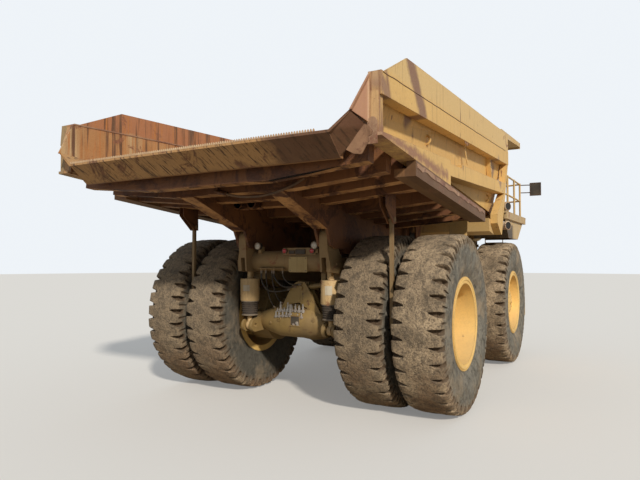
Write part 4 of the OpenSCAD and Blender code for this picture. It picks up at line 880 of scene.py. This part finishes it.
tail_only = within("X", -5.0, -4.60, 0.01)
floor_steel_and_shade = worn_paint(
    "rusty floor plate with painted shade", (0.30, 0.135, 0.05), (0.36, 0.18, 0.075), rust=(0.10, 0.042, 0.02), dusty=0.25,
    rust_from=0.56, streaks=0.2, dust=(0.38, 0.26, 0.15), edges=0.4,
    zones=[(tail_only, (0.45, 0.25, 0.10)),
           (both(tail_only, within("Y", -2.6, -1.25, 0.10, 0.25)), (0.135, 0.062, 0.032)),
           (both(tail_only, scored((4, 22, 1.6), 0.56, 0.64, lean=24)), (0.075, 0.036, 0.018)),
           (both(tail_only, scored((5, 34, 2.4), 0.58, 0.64, lean=28)), (0.060, 0.028, 0.015)),
           (within("Z", 2.0, 3.30, 0.08, 0.10), (0.16, 0.082, 0.036)),
           # painted shade: the floor's raised right-hand edge, above 3.62 m, is painted dark brown to stand in for
           # shadow that the lamp does not cast there.
           (both(within("Z", 3.62, 4.50, 0.02), within("Y", -2.60, -2.00, 0.02)), (0.185, 0.088, 0.052)),
           (within("Y", -2.60, -2.42, 0.01), (0.115, 0.055, 0.024))])
dress(["bed_floor"], floor_steel_and_shade)
bead_steel = worn_paint("ground weld", (0.55, 0.40, 0.24), (0.42, 0.27, 0.15), dusty=0.1)
bead = turned([(0.013, -0.006), (0.013, 0.006), (0.010, 0.022), (0.004, 0.031), (0.002, 0.032)], 8)
lip_end_y, lip_z, bead_pitch = 2.05, 3.600, 0.0335
beads = [((-4.868, lip_end_y - bead_pitch * i, lip_z), (0, 0, 1)) for i in range(118)]
fit(repeated(bead, beads), "lip_weld_beads", "bed", bead_steel, 50)
strip = rod([(-4.874 + 0.002 * math.sin(9 * i), lip_end_y - 0.118 * i, lip_z) for i in range(31)], 0.006)
fit(strip, "lip_weld_strip", "bed", bead_steel, 50)


# Bed underside: deep sills along the bed and bolsters across it, boxed from plate. Rust brown with
# scraps of paint and tan dust on the flanges.
def facing_down(place):
    return times(value_of(facing(place, "Z"), -0.75, -0.93), value_of(speckle(place, 2.2, 6, 0.7), 0.34, 0.58))


under_paint = worn_paint("rusty underside", (0.215, 0.090, 0.034), (0.150, 0.060, 0.026), rust=(0.060, 0.024, 0.013),
                         dusty=0.10, rust_from=0.50, streaks=0.5, edges=0.7, dust=(0.36, 0.20, 0.09),
                         zones=[(facing_down, (0.54, 0.285, 0.115))])
dress(["bed_sills", "bed_bolsters"], under_paint)


# Right side: a wall behind a deep top rail with a sideboard, a stepped middle rail, and posts. The
# board is bleached, a broad rust stain runs down from its peak, and the joint below it has opened.
board_line = ((-4.75, 4.405), (1.83, 4.69))
side_paint = worn_paint(
    "bleached side paint", (0.70, 0.445, 0.155), (0.64, 0.405, 0.145), rust=(0.15, 0.062, 0.032), dusty=0.10,
    rust_from=0.62, streaks=0.38, dust=(0.50, 0.34, 0.17), edges=0.85,
    zones=[(band(*board_line, 0.43, 0.02), (0.65, 0.445, 0.19)),
           (scored((8, 8, 1.3), 0.66, 0.70, 0.9), (0.24, 0.12, 0.06)),
           (band((-4.60, 4.32), (-4.47, 3.90), 0.10, 0.07), (0.25, 0.13, 0.075)),
           (band((-3.92, 4.62), (-3.36, 3.92), 0.26, 0.10), (0.235, 0.125, 0.075)),
           (band((-4.72, 4.13), (-4.28, 3.70), 0.16, 0.12), (0.30, 0.17, 0.10)),
           (band((0.75, 4.05), (1.2, 3.85), 0.45, 0.15), (0.32, 0.20, 0.13)),
           (band((-4.9, 3.58), (-2.4, 3.40), 0.13, 0.16, 5.0), (0.30, 0.15, 0.085)),
           (within("X", -4.95, -4.69, 0.02), (0.52, 0.33, 0.21)),
           (within("X", -4.95, -4.715, 0.01), (0.37, 0.19, 0.115)),
           (both(within("X", -4.95, -4.57, 0.02, 0.02), scored((10, 10, 0.5), 0.47, 0.58, 1.2)),
            (0.26, 0.13, 0.075))])
dress(["bed_side_right"], side_paint)
crack = rod([(-4.66 + 0.155 * i, -2.5615, 4.174 + 0.00676 * i + 0.008 * noise.noise(Vector((1.7 * i, 0, 0))))
             for i in range(41)], 0.0045)
fit(crack, "rail_crack", "bed", floor_steel_and_shade, 60)
lap = [(-2.515, 3.44), (-2.405, 3.44), (-2.405, 3.66), *(
    (-2.46 + 0.055 * math.cos(a), 3.66 + 0.06 * math.sin(a)) for a in (0.4, 0.9, 1.4, 1.9, 2.4, 2.8)), (-2.515, 3.66)]
rusty_edge = worn_paint("rusty torn edge", (0.26, 0.125, 0.07), (0.40, 0.25, 0.15), rust=(0.12, 0.05, 0.03),
                        dusty=0.3, rust_from=0.50, dust=(0.50, 0.36, 0.24))
fit(cut_plate(lap, 0.012, x=-4.708), "lap_plate", "bed", rusty_edge)
flap = cut_plate([(-2.25, 3.37), (-2.33, 3.46), (-2.45, 3.60), (-2.50, 3.585), (-2.545, 3.53), (-2.525, 3.49),
                  (-2.49, 3.475), (-2.505, 3.43), (-2.46, 3.37), (-2.42, 3.315), (-2.34, 3.32)], 0.014, x=-4.886)
crumple(flap, 3, 0.012, 9)
for point in flap.data.vertices:
    point.co.x = max(point.co.x, cad_low.x)
torn_rust = worn_paint("rusty torn flap", (0.21, 0.10, 0.055), (0.30, 0.165, 0.09), rust=(0.09, 0.038, 0.022),
                       dusty=0.05, rust_from=0.52, runs_along=(6, 9, 0.8), runs_turn=(0.5, 0, 0), streaks=0.8)
fit(flap, "torn_corner_flap", "bed", torn_rust, 40)
tear_step, tear_slope = 0.09, 0.0885
top_edge = [(-3.66 + tear_step * i, 3.395 - tear_slope * tear_step * i + 0.020 * noise.noise(Vector((2.9 * i, 7, 0))))
            for i in range(38)]
low_edge = [(x, z - 0.055 - 0.030 * noise.noise(Vector((5.3 * x, 1, 3)))) for x, z in reversed(top_edge)]
torn = [crumple(cut_plate(top_edge + low_edge, 0.008, 0, y=-2.566), 1, 0.003, 6)]
for x0, x1, z0, drop in ((-1.50, -1.42, 4.085, 0.055), (-1.40, -1.34, 4.09, 0.085), (-1.30, -1.25, 4.095, 0.060)):
    torn.append(cut_plate([(x0, z0), (x1, z0), (x1 - 0.01, z0 - 0.7 * drop), ((x0 + x1) / 2, z0 - drop),
                           (x0 + 0.015, z0 - 0.6 * drop)], 0.010, y=-2.552))
fit(torn, "torn_edge_plates", "bed", rusty_edge, 40)
strap = cut_plate([(-1.195, 4.135), (-1.145, 4.135), (-0.985, 3.850), (-0.940, 3.790), (-0.985, 3.785),
                   (-1.030, 3.840)], 0.010, y=-2.455)
fit(crumple(strap, 1, 0.006), "hanging_strap", "bed", side_paint)
# painted shade: thin black plates stand in the bracket's two slots for the dark seen through them.
slots = [cut_plate([(x - 0.005, z + 0.07), (x + 0.022, z + 0.07), (x + 0.060, z - 0.06), (x + 0.033, z - 0.06)],
                   0.004, 0, y=-2.4715) for x, z in ((0.60, 4.04), (0.69, 3.84))]
fit(slots, "bracket_slots", "bed", black_paint)


# Left side: the same wall seen from inside, where the paint is gone. It is rusted red in upright
# streaks, with a few pale runs, and keeps its paint outside. A narrow ledge runs along its inner face.
def outer_face(place):
    return sums("MAXIMUM", value_of(facing(place, "Y"), 0.2, 0.4), value_of(part_of(place, "Y"), 2.43, 2.46))


inner_rust = worn_paint(
    "rusted wall", (0.36, 0.150, 0.048), (0.46, 0.235, 0.095), rust=(0.15, 0.060, 0.030), dusty=0.15, rust_from=0.58,
    streaks=0.55, dust=(0.45, 0.33, 0.22), edges=0.3, runs_along=(7, 7, 0.35), grain=1.3,
    zones=[(band((-4.7, 4.42), (1.83, 4.62), 0.42, 0.03), (0.40, 0.165, 0.075)),
           (both(within("Z", 3.4, 4.30, 0.03), scored((3, 3, 0.12), 0.50, 0.62, 1.4)), (0.50, 0.33, 0.17)),
           (scored((5, 5, 0.20), 0.54, 0.62, 2.3), (0.12, 0.055, 0.028)),
           (scored((9, 9, 0.20), 0.57, 0.62, 3.1), (0.44, 0.17, 0.05)),
           (outer_face, (0.56, 0.36, 0.13)),
           (both(outer_face, scored((5, 5, 0.6), 0.56, 0.66, 1.1)), (0.24, 0.125, 0.06)),
           (both(outer_face, within("X", -5.0, -4.55, 0.04)), (0.32, 0.22, 0.11))])
dress(["bed_side_left"], inner_rust)
ledge = cut_plate([(-4.655, 4.225), (1.70, 4.452), (1.70, 4.474), (-4.655, 4.247)], -0.014, y=2.300)
fit(crumple(ledge, 4, 0.004, 3), "left_wall_ledge", "bed", rusty_edge)


# Front wall and canopy of the bed, tyre guards and hoist barrels: welded plate and tube in yellow paint,
# chipped by rock. The ejector bars between the twin tyres are scraped nearly bare.
body_paint = worn_paint("faded bed paint", (0.62, 0.395, 0.14), (0.60, 0.44, 0.23), dusty=0.3, rust_from=0.62,
                        edges=0.8)
dress(["bed_front_wall", "bed_canopy", "tyre_guards", "hoist_barrels"], body_paint)
dress(["rock_ejectors"], worn_paint("worn bar paint", (0.26, 0.175, 0.08), (0.17, 0.11, 0.055), dusty=0.3,
                                    rust_from=0.55, edges=0.8))


# Front end: bumper, fenders, deck, ladders, rails, tanks and air cleaners. Painted plate and tube,
# bolted together; the tread of the deck is worn through to steel.
def painted_shade_back_faces(place):
    return sums("MAXIMUM", value_of(facing(place, "X"), -0.3, -0.6), value_of(facing(place, "Z"), -0.4, -0.7))


def facing_out(place):
    return value_of(sums("ABSOLUTE", facing(place, "Y")), 0.6, 0.8)


# painted shade: faces looking back or down, and the outer faces behind the front wheel, are painted near black for the
# shadow under the fender.
painted_shade_behind_wheel = both(facing_out, both(within("X", 2.0, 3.1, 0.1, 0.1), within("Z", 2.0, 3.04, 0.02)))
fender_paint_and_shade = worn_paint("fender paint with painted shade", (0.60, 0.385, 0.14), (0.52, 0.38, 0.20), dusty=0.35, rust_from=0.62,
                          streaks=0.3, edges=0.8, zones=[(painted_shade_back_faces, (0.028, 0.022, 0.016)),
                                                         (painted_shade_behind_wheel, (0.040, 0.030, 0.021))])
dress(["fenders"], fender_paint_and_shade)
dress(["front_bumper", "hood", "cab_shell", "cab_door", "handrails", "front_ladders", "air_cleaners", "fuel_tank",
       "hydraulic_tank"], body_paint)


def studs(place):
    grid = put(place, "ShaderNodeTexVoronoi", Vector=place, Scale=26.0, Randomness=0.0).outputs["Distance"]
    return value_of(grid, 0.30, 0.18)


dress(["deck"], worn_paint("worn deck plate", (0.56, 0.37, 0.15), (0.46, 0.33, 0.17), rust=(0.20, 0.10, 0.055),
                           dusty=0.65, rust_from=0.54, zones=[(studs, (0.40, 0.35, 0.28))]))
dress(["radiator_grille", "mirrors", "operator_console"], black_paint)


# Exhaust pipes: thin bent steel pipe, burnt pale by heat. Each mouth is lined with soot and ends in a
# rolled ring.
pipe_steel, place = new_material("heat paled pipe")
blotches = speckle(place, 5, 6, 0.65)
colour = stained((0.72, 0.58, 0.42), blotches, 0.35, 0.65, (0.42, 0.27, 0.17))
colour = stained(colour, speckle(place, 16, 6, 0.7), 0.58, 0.66, (0.17, 0.085, 0.05))
finish_material(colour, 0.6, blotches, 0.2, 0.004, 0.2)
dress(["exhaust_pipes"], pipe_steel, edge=0.003)
soot = worn_paint("soot", (0.008, 0.008, 0.008), (0.014, 0.013, 0.012), dusty=0.05, rust_from=0.9, streaks=0.05)
elbows = [((2.560, -1.900, z), (-0.5, -0.866, 0)) for z in (2.990, 3.397)]
lining = turned([(0.0785, 0.655), (0.0785, 0.130), (0.070, 0.125), (0.004, 0.125)])
fit(repeated(lining, elbows), "sooty_pipe_linings", "chassis", soot, 40)
ring = turned([(0.0870, 0.630), (0.0925, 0.632), (0.0925, 0.654), (0.0870, 0.657), (0.0795, 0.657), (0.0795, 0.650),
               (0.0870, 0.630)], 40)
fit(repeated(ring, elbows), "pipe_mouth_rings", "chassis", pipe_steel, 40)


# Cab glass and mirror glass: laminated sheets held in rubber seals; the mirrors are silvered, dusty, and
# framed in pressed steel. Two wipers stand on spindles below the windscreen.
cab_glass_sheet, place = new_material("dusty cab glass")
smears = value_of(speckle(place, 3, 6, 0.7), 0.42, 0.72)
through = put(place, "ShaderNodeBsdfTransparent", Color=(0.62, 0.70, 0.70))
gloss = put(place, "ShaderNodeBsdfPrincipled", Base_Color=(0.06, 0.075, 0.08), Roughness=0.06)
film = put(place, "ShaderNodeBsdfDiffuse", Color=(0.42, 0.36, 0.28))
shine = put(place, "ShaderNodeFresnel", IOR=1.5).outputs[0]
clean = mixed_shaders(sums("ADD", times(shine, 0.9), 0.22), through, gloss)
put(place, "ShaderNodeOutputMaterial", Surface=mixed_shaders(times(smears, 0.3), clean.node, film))
dress(["cab_glass", "cab_door_glass"], cab_glass_sheet, edge=0)
silvering, place = new_material("mirror silvering")
film = value_of(speckle(place, 12, 5, 0.7), 0.45, 0.75)
finish_material(mixed(times(film, 0.5), (0.62, 0.64, 0.66), (0.30, 0.25, 0.19)),
                put(place, "ShaderNodeMapRange", Value=film, To_Min=0.08, To_Max=0.5).outputs[0], metal=1.0,
                specular=0.5)
mirror_z = 4.020
glasses, rims = [], []
for y in (-2.67, 2.67):
    glasses.append(cut_plate(box_of(y - 0.108, y + 0.108, mirror_z - 0.135, mirror_z + 0.135), 0.004, 0, x=4.628))
    rim = cut_plate(box_of(y - 0.128, y + 0.128, mirror_z - 0.158, mirror_z + 0.158), 0.012, 0, x=4.622)
    alone(rim)
    select_faces(rim.data, {f.index for f in rim.data.polygons if f.normal.x < -0.9})
    bpy.ops.mesh.inset(thickness=0.018)
    bpy.ops.mesh.extrude_region_move(TRANSFORM_OT_translate={"value": (0.005, 0, 0)})
    object_mode()
    rims.append(rim)
fit(glasses, "mirror_glass", "chassis", silvering, 0)
fit(rims, "mirror_rims", "chassis", black_paint)
sill_z, head_z = 3.920, 4.620


def side_window(x0, x1, y, top=head_z):
    return [(x, y, z) for x, z in box_of(x0, x1, sill_z, top)]


for name, corners, body in (
        ("window_seal_front_left", side_window(3.680, 4.020, 1.602), "chassis"),
        ("window_seal_rear_left", side_window(2.580, 2.770, 1.602), "chassis"),
        ("window_seal_right", side_window(2.750, 3.950, 0.228), "chassis"),
        ("window_seal_back", [(2.448, y, z) for y, z in box_of(0.380, 1.450, 4.000, 4.580)], "chassis"),
        ("windscreen_seal", [(4.238, 0.320, sill_z), (4.238, 1.510, sill_z), (4.103, 1.510, head_z),
                             (4.103, 0.320, head_z)], "chassis"),
        ("door_window_seal", side_window(2.930, 3.520, 1.608, 4.570), "cab_door")):
    fit(rod(corners + corners[:1], 0.011, "VECTOR"), name, body, hose_rubber, 50)
wipers = []
for y in (0.62, 1.16):
    wipers += [repeated(turned([(0.020, 0.0), (0.020, 0.022), (0.012, 0.028), (0.004, 0.028)], 16),
                        [((4.246, y, 3.872), (1, 0, 0.19))]),
               rod([(4.258, y, 3.875), (4.240, y + 0.12, 4.06), (4.205, y + 0.20, 4.20)], 0.006),
               rod([(4.216, y + 0.045, 4.10), (4.200, y + 0.20, 4.20), (4.178, y + 0.34, 4.29)], 0.009)]
fit(wipers, "wipers", "chassis", black_paint, 40)


# Operator's seat: foam cushions under dark cloth on a steel box. The cushions are crowned and
# pulled in at their seams.
def cushion(name, centre, size, lean):
    alone()
    bpy.ops.mesh.primitive_cube_add(size=1)
    pad = bpy.context.object
    edit_all()
    bpy.ops.mesh.subdivide(number_cuts=9)
    object_mode()
    for point in pad.data.vertices:
        x, y, z = (2 * c for c in point.co)
        full = (1 - x ** 4) * (1 - y ** 4)
        pull = 1 - 0.05 * (x * x * y * y)
        channel = 0.06 * math.exp(-((abs(y) - 0.5) / 0.06) ** 2) if z > 0.9 else 0.0
        point.co = Vector((x / 2 * pull, y / 2 * pull, z / 2 * (0.72 + 0.28 * full) - channel))
        if abs(z) < 0.95:
            point.co.x *= 1 - 0.03 * math.cos(math.pi * z / 2)
    pad.data.transform(Matrix.Translation(centre) @ Matrix.Rotation(lean, 4, "Y") @ Matrix.Diagonal((*size, 1)))
    smooth = pad.modifiers.new("smooth", "SUBSURF")
    smooth.levels = smooth.render_levels = 1
    alone(pad)
    bpy.ops.object.modifier_apply(modifier="smooth")
    fit(pad, name, "chassis", seat_cloth, 60)
    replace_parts(pad, "operator_seat")


seat_cloth = dusty_rubber("dark seat cloth", (0.035, 0.033, 0.032), (0.20, 0.16, 0.11), 0.5)
seat_low, seat_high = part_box("operator_seat")
seat_y = (seat_low.y + seat_high.y) / 2
cushion("seat_cushion", (3.060, seat_y, seat_low.z + 0.375), (0.455, 0.490, 0.120), 0.0)
cushion("seat_back_cushion", (2.862, seat_y, seat_low.z + 0.73), (0.560, 0.450, 0.105), math.radians(97))
base_z, base_top = seat_low.z, seat_low.z + 0.312
base = cut_plate([(2.900, base_z), (3.200, base_z), (3.170, base_top), (2.870, base_top)], 0.34, 0.006,
                 y=seat_y - 0.17)
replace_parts(fit(base, "seat_base", "chassis", black_paint), "operator_seat")
